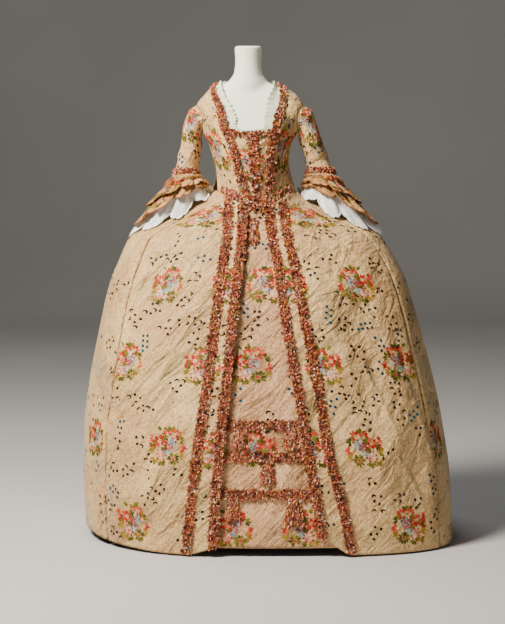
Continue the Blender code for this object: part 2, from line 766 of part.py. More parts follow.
def petticoat_front_panel():
    def place(column, row):
        angle = blend(-PETTICOAT_SEAM, PETTICOAT_SEAM, column / PETTICOAT_COLUMNS)
        return petticoat_point(angle, PETTICOAT_ROWS[row])

    return Sheet(range(PETTICOAT_COLUMNS + 1), range(len(PETTICOAT_ROWS)), place, middle=(0, 0.02, 0.3))


def petticoat_back_panel(side):
    """Half of the back, from the side seam to the seam down the middle."""
    count = 4

    def place(column, row):
        height = PETTICOAT_ROWS[row]
        middle = 180 - math.degrees(BACK_CLEAR / read(SKIRT, "back", height))
        angle = blend(PETTICOAT_SEAM + SIDE_CLEAR, middle, column / count)
        return petticoat_point(SIDES[side] * angle, height)

    return Sheet(range(count + 1), range(len(PETTICOAT_ROWS)), place, middle=(0, 0, 0.3))


def petticoat():
    sheet = petticoat_front_panel()
    cloth("petticoat_front", sheet, PETTICOAT)
    for side in SIDES:
        cloth("petticoat_back_" + side, petticoat_back_panel(side), PETTICOAT)
    for number, row in enumerate(BAND_ROWS, 1):
        height = PETTICOAT_ROWS[row]
        ends = []
        for side, sign in SIDES.items():
            angle = skirt_angle((read(FRONTS, side + "_edge", height) + sign * 8) * MM, height)
            ends.append((angle + PETTICOAT_SEAM) / (2 * PETTICOAT_SEAM) * PETTICOAT_COLUMNS)
        fly_fringe(f"petticoat_band_{number}", sheet,
                   lambda t, a, row=row: (blend(ends[0], ends[1], t), row + a), 16, BAND_GAP)


# Bunches of fringe that hang on the petticoat: place across, top, width and length in
# millimetres, and how many strands stand side by side.
PENDANTS = chart(
    "number x top width length strands lift",
    (1, -67, 362.3, 30, 45, 4, 0),
    (2, 86, 361, 38, 50, 5, 0),
    (3, 14, 273, 28, 60, 4, 0),
    (4, -84, 165.3, 26, 56, 4, 0),
    (5, 90, 165.3, 40, 74, 5, 0),
    (6, -28, 946, 30, 62, 4, 0),
)
PENDANT_HEAD = 13.0


def pendant(number):
    """A bunch of floss: a small block with strands in two rows under it, each apart."""
    k = number - 1
    x, top, width, length, lift = (PENDANTS[name][k] for name in ("x", "top", "width", "length", "lift"))
    count = int(PENDANTS["strands"][k])
    bm = bmesh.new()
    bmesh.ops.create_grid(bm, x_segments=count, y_segments=2, size=1)
    cells = bm.faces[:]
    for vert in bm.verts:
        vert.co.z = 0
    head = bmesh.ops.extrude_face_region(bm, geom=cells, use_keep_orig=True)
    for item in head["geom"]:
        if isinstance(item, bmesh.types.BMVert):
            item.co.z = -1
    bmesh.ops.inset_individual(bm, faces=cells, thickness=0.35 / count)
    for level in (1, 2):
        cells = bmesh.ops.extrude_discrete_faces(bm, faces=cells)["faces"]
        for cell in cells:
            centre = cell.calc_center_median()
            for vert in cell.verts:
                vert.co.x = centre.x + (vert.co.x - centre.x) * 0.9
                vert.co.z = level
    for vert in bm.verts:
        u, v, level = vert.co
        strand = round((u + 1) * count / 2 - 0.5) + 3 * (v > 0)
        sway = math.sin(2.3 * strand + number)
        flare = 1 + 0.16 * max(level, 0)
        down = PENDANT_HEAD + max(level, 0) / 2 * length * (0.9 + 0.1 * sway) if level >= 0 else 0
        across = x + u * width / 2 * flare + max(level, 0) * 0.4 * sway
        height = top - down
        rise = 1.3 + lift + (v + 1) * 3.6
        vert.co = petticoat_point(skirt_angle(across * MM, height), height, rise * MM)
    bmesh.ops.recalc_face_normals(bm, faces=bm.faces[:])
    finished(f"fringe_pendant_{number}", bm, FRINGE, smooth=False)


# ---------------------------------------------------------------- sleeves
# Outline of each sleeve below the armhole, from the shoulder to the elbow: outer and inner edge
# (across and up), half its depth front to back, and how far its middle lies forward. Millimetres.
SLEEVES = {
    "left": chart(
        "step outer_x outer_z inner_x inner_z depth middle",
        (1, -216, 1263, -180, 1180, 46, 2),
        (2, -234, 1209, -178, 1162, 45, 0),
        (3, -242, 1155, -180, 1138, 43, -4),
        (4, -250, 1118, -186, 1110, 41, -8),
        (5, -261, 1070, -189, 1072, 40, -12),
    ),
    "right": chart(
        "step outer_x outer_z inner_x inner_z depth middle",
        (1, 146, 1263, 107, 1180, 46, 2),
        (2, 166, 1208, 110, 1164, 45, 0),
        (3, 184, 1156, 121, 1140, 43, -4),
        (4, 197, 1117, 129, 1112, 41, -8),
        (5, 214, 1075, 133, 1074, 40, -12),
    ),
}
SLEEVE_AROUND = 12
ELBOW_LIFT = 0.010          # the sleeve's end rises this far in the crook of the elbow
ARMHOLE_GAP = 0.0010


def sleeve_spot(side, turn, step):
    """A point round the sleeve; turn is 0 outside, 90 in front and 180 inside."""
    table, angle = SLEEVES[side], math.radians(turn)
    outer = np.array((read(table, "outer_x", step), 0, read(table, "outer_z", step)))
    inner = np.array((read(table, "inner_x", step), 0, read(table, "inner_z", step)))
    spot = (outer + inner) / 2 + (outer - inner) / 2 * math.cos(angle)
    spot[1] = read(table, "middle", step) - read(table, "depth", step) * math.sin(angle)
    spot = spot * MM
    spot[2] += ELBOW_LIFT * math.sin(angle) * ease((step - 3.5) / 1.5)
    return spot


def armhole_spot(side, column):
    sign, half = SIDES[side], SLEEVE_AROUND // 2
    ring = ARMHOLE_ROWS[column if column <= half else SLEEVE_AROUND - column]
    angle = armhole_angle(ring, toward_back=column > half)
    return body(sign * angle, ring) + np.array((sign * ARMHOLE_GAP, 0, -0.3 * ARMHOLE_GAP))


def sleeve_panel(side):
    steps = (0, 1, 1.7, 2.5, 3.3, 4.2, 4.75, 5)

    def place(column, row):
        if row == 0:
            return armhole_spot(side, column)
        crease = 0.0012 * math.sin(2.2 * column + 5 * row)
        spot = sleeve_spot(side, 360 * column / SLEEVE_AROUND, steps[row])
        spot[0] += crease
        return spot

    centre = [(sleeve_spot(side, 0, 3) + sleeve_spot(side, 180, 3)) / 2]
    return Sheet(range(SLEEVE_AROUND), range(len(steps)), place, closed=True, middle=centre[0])


# The ruffles at the elbow, outermost first: how wide each starts against the sleeve, the outer and
# inner ends of its hem, half its depth, how it flares, and how far it stays off the skirt. Millimetres.
RUFFLES = {
    "left": chart(
        "layer start outer_x outer_z inner_x inner_z depth flare clear rows",
        (0, 0.99, -340, 978, -163, 1046, 76, 0.85, 22, 2),
        (1, 0.93, -377, 923, -160, 1038, 78, 1.2, 12, 3),
        (2, 0.87, -390, 898, -147, 1025, 76, 1.35, 5, 3),
    ),
    "right": chart(
        "layer start outer_x outer_z inner_x inner_z depth flare clear rows",
        (0, 0.99, 292, 986, 120, 1046, 77, 0.85, 22, 2),
        (1, 0.86, 341, 926, 119, 1038, 78, 1.2, 12, 3),
        (2, 0.79, 352, 908, 108, 1024, 76, 1.35, 5, 3),
    ),
}
RUFFLE_NAMES = ("flounce_upper", "flounce_lower", "engageante")
RUFFLE_WAVES = 8
RUFFLE_AROUND = 32
RUFFLE_DEPTH = 0.007
RUFFLE_BACK_DROP = 0.018
RUFFLE_GAP = 0.0012         # clear space between the sleeve's end and the ruffles


def ruffle_panel(side, layer):
    table = RUFFLES[side]
    value = {name: column[layer] for name, column in table.items()}
    outer = np.array((value["outer_x"], 0, value["outer_z"])) * MM
    inner = np.array((value["inner_x"], 0, value["inner_z"])) * MM
    head_outer, head_inner = sleeve_spot(side, 0, 5), sleeve_spot(side, 180, 5)
    head = (head_outer + head_inner) / 2
    rows = int(value["rows"])

    def place(column, row):
        t = row / rows
        turn = 2 * math.pi * column / RUFFLE_AROUND
        cosine, sine = math.cos(turn), math.sin(turn)
        spread = t ** value["flare"]
        start = (sleeve_spot(side, math.degrees(turn), 5) - head) * value["start"]
        end = (outer - inner) / 2 * cosine
        end[1] = -value["depth"] * MM * sine
        arm = blend(start, end, spread)
        wave = RUFFLE_DEPTH * t * math.sin(RUFFLE_WAVES * turn)
        arm *= 1 + wave / np.linalg.norm(arm)
        middle = blend(head, (outer + inner) / 2, t)
        spot = middle + arm
        spot[2] -= RUFFLE_GAP + RUFFLE_BACK_DROP * t * max(-sine, 0)
        floor = skirt_height(spot[0], spot[1]) + value["clear"] * MM * (0.4 + 0.6 * t)
        spot[2] = max(spot[2], floor)
        return spot

    return Sheet(range(RUFFLE_AROUND), range(rows + 1), place, closed=True, middle=head - (0, 0, 0.04))


def sleeves():
    for side in SIDES:
        sheet = sleeve_panel(side)
        cloth("sleeve_" + side, sheet, BODICE)
        fly_fringe("elbow_fringe_" + side, sheet,
                   lambda t, a: (9.05 + (SLEEVE_AROUND - 0.1) * t, 6.02 + 0.95 * a), 24)
        for layer, name in enumerate(RUFFLE_NAMES):
            white = name == "engageante"
            cloth(f"{name}_{side}", ruffle_panel(side, layer),
                  (0.86, 0.86, 0.84) if white else BODICE, COTTON if white else 0.0015)


dress_form()
stand()
bodice()
neck_frill()
gown_skirt()
petticoat()
for number in range(1, len(PENDANTS["key"]) + 1):
    pendant(number)
sleeves()
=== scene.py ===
"""A robe a la francaise on a dress form: what its silk, fringe and lace look like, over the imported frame."""
import math

import bmesh
import bpy
import numpy as np
from mathutils import Matrix, Vector


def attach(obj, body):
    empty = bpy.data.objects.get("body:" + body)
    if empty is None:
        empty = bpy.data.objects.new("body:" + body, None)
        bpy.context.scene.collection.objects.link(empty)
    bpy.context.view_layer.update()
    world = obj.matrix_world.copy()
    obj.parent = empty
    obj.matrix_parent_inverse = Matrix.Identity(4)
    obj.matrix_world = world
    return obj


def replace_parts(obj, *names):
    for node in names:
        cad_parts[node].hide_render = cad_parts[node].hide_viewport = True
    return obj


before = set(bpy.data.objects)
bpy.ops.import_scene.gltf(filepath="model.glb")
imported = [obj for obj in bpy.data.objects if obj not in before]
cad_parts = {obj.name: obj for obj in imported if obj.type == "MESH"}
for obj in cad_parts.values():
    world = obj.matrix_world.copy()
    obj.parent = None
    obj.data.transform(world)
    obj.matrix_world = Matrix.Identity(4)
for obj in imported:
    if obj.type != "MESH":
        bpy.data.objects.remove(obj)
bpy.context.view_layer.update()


# ---- dress form: a padded torso without head or arms, covered with matt off-white jersey pulled
# smooth, with a flat cap over the neck; it carries the bodice by the shoulders.
MM = 0.001


def chart(names, *rows):
    """A table with named columns, whose first column is what the others are read at."""
    titles = names.split()
    columns = {title: np.array(values, float) for title, values in zip(titles, zip(*rows))}
    columns["key"] = columns[titles[0]]
    return columns


def read(table, name, at):
    """One column's values, eased from row to row so that no row shows as a kink."""
    keys, values = table["key"], table[name]
    at = np.clip(at, keys[0], keys[-1])
    run = np.diff(keys)
    rise = np.diff(values) / run
    slopes = np.concatenate(([rise[0]], np.zeros(len(run) - 1), [rise[-1]]))
    before, after = rise[:-1], rise[1:]
    turning = before * after > 0
    slopes[1:-1][turning] = (2 * before * after)[turning] / (before + after)[turning]
    k = np.clip(np.searchsorted(keys, at) - 1, 0, len(run) - 1)
    t = (at - keys[k]) / run[k]
    share = t * t * (3 - 2 * t)
    bend = t * (1 - t) * ((1 - t) * slopes[k] - t * slopes[k + 1]) * run[k]
    return values[k] * (1 - share) + values[k + 1] * share + bend


def blend(a, b, t):
    return a + (b - a) * t


def ease(t):
    t = np.clip(t, 0.0, 1.0)
    return t * t * (3 - 2 * t)


def xyz(x, y, z):
    """Three measures in millimetres as points in metres."""
    return np.stack(np.broadcast_arrays(x, y, z), -1) * MM


# Rings round the body from the neck (0) over the shoulders to below the waist. A ring dips: it
# has its own height at the front, side and back. Millimetres.
BODY = chart(
    "ring half front back  z_front z_side z_back lean",
    (0, 40, 42, 40, 1443, 1443, 1443, -41),
    (1, 38, 40, 40, 1405, 1405, 1405, -41),
    (2, 43, 43, 46, 1352, 1368, 1378, -41),
    (3, 62, 50, 62, 1318, 1352, 1360, -42),
    (4, 97, 66, 80, 1282, 1337, 1335, -44),
    (5, 135, 83, 96, 1243, 1308, 1300, -35),
    (6, 159, 98, 104, 1205, 1268, 1255, -36),
    (7, 142, 112, 102, 1165, 1200, 1200, -36),
    (8, 120, 115, 98, 1128, 1158, 1150, -35),
    (9, 109, 106, 92, 1082, 1095, 1090, -28),
    (10, 114, 99, 92, 1030, 1029, 1029, -18),
    (11, 130, 118, 108, 960, 960, 960, -14),
    (12, 128, 112, 108, 880, 880, 880, -10),
)


def body(angle, ring, out=0.0):
    """Points of the bodice's surface, or points that stand off it by a distance in metres."""
    def plain(angle, ring):
        s, c = np.sin(np.radians(angle)), np.cos(np.radians(angle))
        depth = np.where(c > 0, read(BODY, "front", ring), read(BODY, "back", ring))
        level = np.where(c > 0, read(BODY, "z_front", ring), read(BODY, "z_back", ring))
        x = read(BODY, "lean", ring) + read(BODY, "half", ring) * s
        return xyz(x, -depth * c, blend(level, read(BODY, "z_side", ring), s * s))

    across = plain(angle + 1, ring) - plain(angle - 1, ring)
    up = plain(angle, np.maximum(ring - 0.1, 0)) - plain(angle, np.minimum(ring + 0.1, 12))
    normal = np.cross(across, up)
    normal /= np.linalg.norm(normal, axis=-1)[..., None]
    return plain(angle, ring) + np.asarray(out)[..., None] * normal


def placed(name, mesh):
    """An object that holds a mesh, a lamp or a camera, put in the scene."""
    piece = bpy.data.objects.new(name, mesh)
    bpy.context.scene.collection.objects.link(piece)
    return piece


def skin(name, points, closed=False):
    """A mesh over a grid of points, with a UV map in metres along the cloth and its fall, 0 to 1."""
    columns, rows = points.shape[:2]
    around = columns + 1 if closed else columns
    index = (np.arange(around) % columns)[:, None] * rows + np.arange(rows)
    faces = np.stack([index[:-1, :-1], index[1:, :-1], index[1:, 1:], index[:-1, 1:]], -1).reshape(-1, 4)
    mesh = bpy.data.meshes.new(name)
    mesh.from_pydata(points.reshape(-1, 3).tolist(), [], faces.tolist())
    laid = points[np.arange(around) % columns]
    width = np.linalg.norm(np.diff(laid, axis=0), axis=2).mean(1)
    length = np.linalg.norm(np.diff(laid, axis=1), axis=2)
    u = np.concatenate(([0], np.cumsum(width)))[:, None] + np.zeros((1, rows))
    v = -np.concatenate((np.zeros((around, 1)), np.cumsum(length, 1)), 1)
    flat = np.stack([u, v], -1)
    corners = np.stack([flat[:-1, :-1], flat[1:, :-1], flat[1:, 1:], flat[:-1, 1:]], 2)
    mesh.uv_layers.new(name="cloth").uv.foreach_set("vector", corners.ravel().astype(np.float32))
    fall = np.tile(np.linspace(0, 1, rows), columns).astype(np.float32)
    mesh.attributes.new("fall", "FLOAT", "POINT").data.foreach_set("value", fall)
    mesh.shade_smooth()
    return placed(name, mesh)


def applied(piece, kind, **settings):
    """A modifier added to a piece and applied, as by hand."""
    bpy.ops.object.select_all(action="DESELECT")
    bpy.context.view_layer.objects.active = piece
    piece.select_set(True)
    modifier = piece.modifiers.new(kind.lower(), kind)
    for name, value in settings.items():
        setattr(modifier, name, value)
    bpy.ops.object.modifier_apply(modifier=modifier.name)
    return piece


def linear(hex_colour, alpha=1.0):
    """An sRGB hex colour as linear values."""
    parts = [int(hex_colour[k:k + 2], 16) / 255 for k in (1, 3, 5)]
    return (*[c / 12.92 if c <= 0.04045 else ((c + 0.055) / 1.055) ** 2.4 for c in parts], alpha)


def node(tree, kind, inputs=None, links=None, **settings):
    """One shader node with its settings, its input values and what feeds its inputs."""
    made = tree.nodes.new("ShaderNode" + kind)
    for name, value in settings.items():
        setattr(made, name, value)
    for name, value in (inputs or {}).items():
        made.inputs[name].default_value = value
    for name, source in (links or {}).items():
        tree.links.new(source, made.inputs[name])
    return made


def finish(name, colour="#808080", **sockets):
    """A new material with its Principled shader's plain values set."""
    material = bpy.data.materials.new(name)
    material.use_nodes = True
    shader = material.node_tree.nodes["Principled BSDF"]
    shader.inputs["Base Color"].default_value = linear(colour)
    for title, value in sockets.items():
        shader.inputs[title.replace("_", " ")].default_value = value
    return material, material.node_tree, shader


def ramp(tree, source, *stops, interpolation="LINEAR"):
    """A colour ramp over a source: stops are (place, hex colour)."""
    made = node(tree, "ValToRGB", links={"Fac": source})
    made.color_ramp.interpolation = interpolation
    for k, (place, colour) in enumerate(stops):
        stop = made.color_ramp.elements[k] if k < 2 else made.color_ramp.elements.new(place)
        stop.position, stop.color = place, linear(colour)
    return made.outputs["Color"]


# Cotton jersey, knitted: matt and faintly uneven. Its ribs are 0.8 mm apart, too fine to show, and
# are drawn 10 mm apart and very low. Its white leans a little to green.
JERSEY_RIB = 0.010106
jersey, tree, shader = finish("knitted_cotton_jersey", Roughness=0.86, Sheen_Weight=0.25,
                               Sheen_Roughness=0.6)
place = node(tree, "TexCoord").outputs["Object"]
cloudy = node(tree, "TexNoise", {"Scale": 9.0, "Detail": 3.0}, {"Vector": place})
white = ramp(tree, cloudy.outputs["Fac"], (0.3, "#E9F5DC"), (0.7, "#F2FBE6"))
tree.links.new(white, shader.inputs["Base Color"])
rib = node(tree, "TexWave", {"Scale": math.pi / 10 / JERSEY_RIB, "Distortion": 0.6}, {"Vector": place})
bump = node(tree, "Bump", {"Strength": 0.25, "Distance": 0.0004}, {"Height": rib.outputs["Fac"]})
tree.links.new(bump.outputs["Normal"], shader.inputs["Normal"])

FORM_UNDER = 7.6            # how far the form lies inside the bodice, mm
rings = np.concatenate((np.linspace(0, 4, 40), np.linspace(4.1, 12, 60)))
turns = np.linspace(0, 360, 73)[:-1]
turn, ring = np.meshgrid(turns, rings, indexing="ij")
under = FORM_UNDER * ease(ring - 2.2) + 14 * ease(ring - 10)
points = body(turn, ring, -under * MM)
points[:, -1, 2] = 0.880
torso = skin("torso", points, closed=True)
bm = bmesh.new()
bm.from_mesh(torso.data)
bmesh.ops.holes_fill(bm, edges=[edge for edge in bm.edges if edge.is_boundary])
bmesh.ops.recalc_face_normals(bm, faces=bm.faces[:])
bm.to_mesh(torso.data)
bm.free()
torso.data.shade_smooth()
torso.data.set_sharp_from_angle(angle=math.radians(50))
torso.data.materials.append(jersey)
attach(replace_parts(torso, "form_torso"), "root")


# ---- neck cap and stand: the form's flat cap, the steel pole inside the skirt and the round steel
# foot on the floor. Satin steel has a fine ring grain from turning and shows soft highlights.
def turned(name, profile, centre, material):
    """A piece turned on the lathe: its profile runs from the top of the axis down its outer side."""
    mesh = bpy.data.meshes.new(name)
    edges = [(k, k + 1) for k in range(len(profile) - 1)]
    mesh.from_pydata([(r * MM, 0, z * MM) for r, z in profile], edges, [])
    mesh.materials.append(material)
    piece = placed(name, mesh)
    applied(piece, "SCREW", steps=64, render_steps=64, use_merge_vertices=True, merge_threshold=0.00005)
    piece.data.transform(Matrix.Translation((centre * MM, 0, 0)))
    return piece


steel, tree, shader = finish("turned_satin_steel", "#9A9B9C", Metallic=1.0, Roughness=0.34)
place = node(tree, "TexCoord").outputs["Object"]
grain = node(tree, "TexWave", {"Scale": 60.0, "Distortion": 1.5, "Detail": 2.0}, {"Vector": place},
             wave_type="RINGS", rings_direction="Z")
steel_tone = ramp(tree, grain.outputs["Fac"], (0, "#8E8F90"), (1, "#A6A7A8"))
tree.links.new(steel_tone, shader.inputs["Base Color"])

cap = turned("neck_cap", [(0, 1450), (33, 1450), (36.5, 1449), (38.6, 1446.5), (39, 1444), (39, 1443.3),
                          (0, 1443.3)], -41, jersey)
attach(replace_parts(cap, "form_neck_cap"), "root")
pole = turned("pole", [(0, 879.7), (16, 879.7), (16, 22.3), (0, 22.3)], 0, steel)
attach(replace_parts(pole, "form_pole"), "root")
foot = turned("foot", [(0, 22), (50, 22), (60, 21), (150, 12), (160, 11.2), (166, 9.6), (169.3, 7), (170, 4),
                       (170, 0), (0, 0)], 0, steel)
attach(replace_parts(foot, "form_base"), "root")
for piece in (cap, pole, foot):
    piece.data.shade_smooth()
    piece.data.set_sharp_from_angle(angle=math.radians(40))


# ---- bodice: two fronts with robings, a stomacher between them and a fitted back, cut from pale
# gold silk faille over linen and stitched at the shoulders and sides.
SIDES = {"left": -1, "right": 1}


class Cloth:
    """A cut piece of cloth: place(u, v) is its outer face, with u across it and v down it, 0 to 1."""

    def __init__(self, place, closed=False):
        self.place, self.closed, self.way = place, closed, 1.0
        u, v = np.meshgrid(np.linspace(0.05, 0.95, 9), np.linspace(0.1, 0.9, 5))
        spots = place(u, v)
        away = spots - (spots.mean((0, 1)) if closed else (spots[..., 0].mean(), 0, 0))
        away[..., 2] = 0
        if ((self.at(u, v, 1.0) - spots) * away).sum() < 0:
            self.way = -1.0

    def at(self, u, v, rise=0.0):
        """Points on the cloth, or off it by a distance in metres."""
        u, v = np.broadcast_arrays(np.asarray(u, float), np.asarray(v, float))
        step = 0.004
        low, high = u - step, u + step
        if not self.closed:
            low, high = np.maximum(low, 0), np.minimum(high, 1)
        across = self.place(high, v) - self.place(low, v)
        along = self.place(u, np.minimum(v + step, 1)) - self.place(u, np.maximum(v - step, 0))
        out = np.cross(along, across)
        out /= np.linalg.norm(out, axis=-1)[..., None] + 1e-12
        return self.place(u, v) + self.way * np.asarray(rise)[..., None] * out

    def sewn(self, name, node_name, material, across, along, wall, slot, flat, held="stretched", rests=(),
             area=None, edge=None):
        """The cloth as a piece with a wall inward of its face, in place of its CAD node."""
        u = np.linspace(0, 1, across + 1)[:-1 if self.closed else None]
        v = np.linspace(0, 1, along + 1)
        points = self.place(*np.meshgrid(u, v, indexing="ij"))
        if edge is not None:
            points = edge(points, u, v)
        piece = skin(name, points, self.closed)
        mesh = piece.data
        spot = self.at(u[len(u) // 2], 0.5)
        out = self.at(u[len(u) // 2], 0.5, 1.0) - spot
        near = min(mesh.polygons, key=lambda face: (face.center - Vector(spot)).length)
        if near.normal.dot(Vector(out)) < 0:
            mesh.flip_normals()
        mesh.materials.append(material)
        applied(piece, "SOLIDIFY", thickness=wall, offset=-1)
        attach(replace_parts(piece, node_name), "root")
        self.piece, self.cut = piece, (flat, held, rests, area)
        return piece

    def declare(self, *carried):
        """Takes what is sewn on the cloth and does nothing with it or with its flat cut."""


# Silk faille: a plain weave with fine cross ribs, about 1.1 mm apart on this silk, too fine to show,
# and drawn 6.8 mm apart and low. It has a soft sheen, and its gold is clouded darker in patches a
# hand wide. Over it lie a self-coloured figure and fine salmon flecks of the brocading weft.
FAILLE_RIB = 0.0067854


def faille(name, light, dark, fleck, flecks=0.5):
    material, tree, shader = finish(name, Roughness=0.52, Sheen_Weight=0.2, Sheen_Roughness=0.35,
                                    Specular_IOR_Level=0.42)
    place = node(tree, "TexCoord").outputs["Object"]
    flat = node(tree, "UVMap", uv_map="cloth").outputs["UV"]
    broad = node(tree, "TexNoise", {"Scale": 7.0, "Detail": 4.0, "Roughness": 0.6}, {"Vector": place})
    ground = ramp(tree, broad.outputs["Fac"], (0.32, dark), (0.66, light))
    # a self-coloured figure in the weave, with leaves about 6 mm long
    leaf = node(tree, "TexNoise", {"Scale": 165.0, "Detail": 2.0, "Distortion": 1.4}, {"Vector": place})
    figure = ramp(tree, leaf.outputs["Fac"], (0.38, "#C9B494"), (0.56, "#FFFFFF"))
    toned = node(tree, "Mix", {"Factor": 0.85}, data_type="RGBA", blend_type="MULTIPLY")
    tree.links.new(ground, toned.inputs[6])
    tree.links.new(figure, toned.inputs[7])
    # salmon flecks about 4 mm across and 12 mm apart, in drifts
    speck = node(tree, "TexVoronoi", {"Scale": 85.0, "Randomness": 0.9}, {"Vector": place})
    near = node(tree, "Math", {1: 0.16}, {0: speck.outputs["Distance"]}, operation="LESS_THAN")
    drift = node(tree, "TexNoise", {"Scale": 16.0, "Detail": 2.0}, {"Vector": place})
    where = node(tree, "Math", {1: 1 - flecks}, {0: drift.outputs["Fac"]}, operation="GREATER_THAN")
    both = node(tree, "Math", links={0: near.outputs[0], 1: where.outputs[0]}, operation="MULTIPLY")
    share = node(tree, "Math", {1: 0.6}, {0: both.outputs[0]}, operation="MULTIPLY")
    mixed = node(tree, "Mix", {7: linear(fleck)}, {0: share.outputs[0], 6: toned.outputs[2]},
                 data_type="RGBA")
    tree.links.new(mixed.outputs[2], shader.inputs["Base Color"])
    # ribs, creases and the cockle of old silk; the long creases run up to the right
    rib = node(tree, "TexWave", {"Scale": math.pi / 10 / FAILLE_RIB, "Distortion": 1.2, "Detail": 2.0},
               {"Vector": flat}, bands_direction="Y")
    crease = node(tree, "TexNoise", {"Scale": 34.0, "Detail": 5.0, "Roughness": 0.62, "Distortion": 0.6},
                  {"Vector": place})
    fine = node(tree, "Bump", {"Strength": 0.3, "Distance": 0.0003}, {"Height": rib.outputs["Fac"]})
    crinkle = node(tree, "Bump", {"Strength": 0.8, "Distance": 0.0032},
                   {"Height": leaf.outputs["Fac"], "Normal": fine.outputs["Normal"]})
    cockle = node(tree, "Bump", {"Strength": 0.8, "Distance": 0.008},
                  {"Height": crease.outputs["Fac"], "Normal": crinkle.outputs["Normal"]})
    slant = node(tree, "Mapping", {"Rotation": (0, 0.75, 0), "Scale": (1, 1, 4.5)}, {"Vector": place},
                 vector_type="TEXTURE")
    pull = node(tree, "TexNoise", {"Scale": 26.0, "Detail": 3.0, "Roughness": 0.55, "Distortion": 0.8},
                {"Vector": slant.outputs[0]})
    creased = node(tree, "Bump", {"Strength": 0.9, "Distance": 0.021},
                   {"Height": pull.outputs["Fac"], "Normal": cockle.outputs["Normal"]})
    slack = node(tree, "TexNoise", {"Scale": 4.5, "Detail": 1.0, "Distortion": 0.5}, {"Vector": place})
    hung = node(tree, "Bump", {"Strength": 0.8, "Distance": 0.11},
                {"Height": slack.outputs["Fac"], "Normal": creased.outputs["Normal"]})
    tree.links.new(hung.outputs["Normal"], shader.inputs["Normal"])
    return material


gown_silk = faille("gown_silk_faille", "#E9C98C", "#CFA672", "#B5663A")
SILK_WALL = 0.002           # the silk with its lining, metres
# Rings of the bodice: the shoulder's tip, the armpit, the neckline in front and behind, the front's
# shoulder seam, the waist in front, at the stomacher's point and behind.
SHOULDER_TIP, ARMPIT, NECK_FRONT, NECK_BACK, FRONT_TOP = 5.8, 7.05, 6.2, 3.9, 4.15
WAIST_FRONT, WAIST_POINT, WAIST_BACK = 10.3, 10.75, 10.0
ARMHOLE_HALF_DEPTH = 0.047
SEAM_TURN = math.degrees(0.0011 / 0.13)     # a seam's clear space as a turn round the body
TRIM_WIDTH = 22                             # of the fringe down the fronts, mm
# The front edge of each front: down the side of the neckline, then in to the point. Degrees.
FRONT_EDGE = chart(
    "ring left right",
    (4.15, 70, 70),
    (4.65, 47, 47),
    (5.2, 33, 33),
    (5.85, 25.5, 25.5),
    (6.25, 23, 24),
    (7.45, 16, 23.5),
    (8.3, 15.5, 23.5),
    (9.1, 15, 21.5),
    (9.8, 12, 15),
    (10.35, 5.5, 8.5),
    (10.95, 1.0, 1.2),
)
# The bodice's lower edge: level at the sides, down to a point in front.
WAIST_EDGE = chart("angle ring", (0, 10.95), (15, 10.62), (30, 10.38), (45, 10.22), (90, 10.0))


def armhole_angle(ring, toward_back):
    """How far round from the front the armhole's edge crosses each ring, in degrees."""
    top, bottom = (body(90, np.array(r))[2] for r in (SHOULDER_TIP, ARMPIT))
    half_height, middle = (top - bottom) / 2, (top + bottom) / 2

    def outside(angle):
        spot = body(angle, ring)
        return (spot[..., 1] / ARMHOLE_HALF_DEPTH) ** 2 + ((spot[..., 2] - middle) / half_height) ** 2 > 1

    low, high = np.full(ring.shape, 130.0 if toward_back else 50.0), np.full(ring.shape, 90.0)
    for _ in range(24):
        half = (low + high) / 2
        clear = outside(half)
        low, high = np.where(clear, half, low), np.where(clear, high, half)
    whole = outside(np.full(ring.shape, 90.001)) | (ring <= SHOULDER_TIP) | (ring >= ARMPIT)
    return np.where(whole, 90.0, high)


ARMHOLE_RINGS = SHOULDER_TIP + (ARMPIT - SHOULDER_TIP) * (1 - np.cos(np.linspace(0, math.pi, 301))) / 2
ARMHOLE_ANGLES = [armhole_angle(ARMHOLE_RINGS, toward_back) for toward_back in (False, True)]


def armhole_seam(ring, toward_back):
    """The same edge less the seam's clear space."""
    turn = SEAM_TURN * np.where(ring < SHOULDER_TIP + 0.1, 1, 0.5)
    return np.interp(ring, ARMHOLE_RINGS, ARMHOLE_ANGLES[toward_back]) + (turn if toward_back else -turn)


def bodice_front(side):
    sign = SIDES[side]

    def spread(ring, u):
        inner, outer = read(FRONT_EDGE, side, ring), armhole_seam(ring, False)
        band = np.minimum(np.degrees(TRIM_WIDTH / read(BODY, "half", ring)), 0.6 * (outer - inner))
        return np.where(u <= 0.2, inner + band * u * 5, blend(inner + band, outer, (u - 0.2) / 0.8))

    def place(u, v):
        foot = np.full(np.shape(u), WAIST_FRONT)
        for _ in range(8):
            foot = read(WAIST_EDGE, "ring", spread(foot, u))
        ring = blend(FRONT_TOP, foot, v)
        pull = 0.0012 * np.sin(9 * u + 26 * v) * ease((ring - 6.6) / 2) * ease(u * 3 - 0.4)
        return body(sign * spread(ring, u), ring, pull)

    return Cloth(place)


def stomacher_place(u, v):
    ring = blend(NECK_FRONT, WAIST_POINT, v)
    left, right = 0.8 - read(FRONT_EDGE, "left", ring), read(FRONT_EDGE, "right", ring) - 0.8
    pull = 0.0009 * np.sin(11 * u + 30 * v) + 0.0008 * np.sin(5 - 8 * u + 55 * v)
    return body(blend(left, right, u), ring, pull)


def bodice_back_place(u, v):
    ring = blend(NECK_BACK, WAIST_BACK, v)
    edge = armhole_seam(ring, True)
    return body(blend(edge, 360 - edge, u), ring)


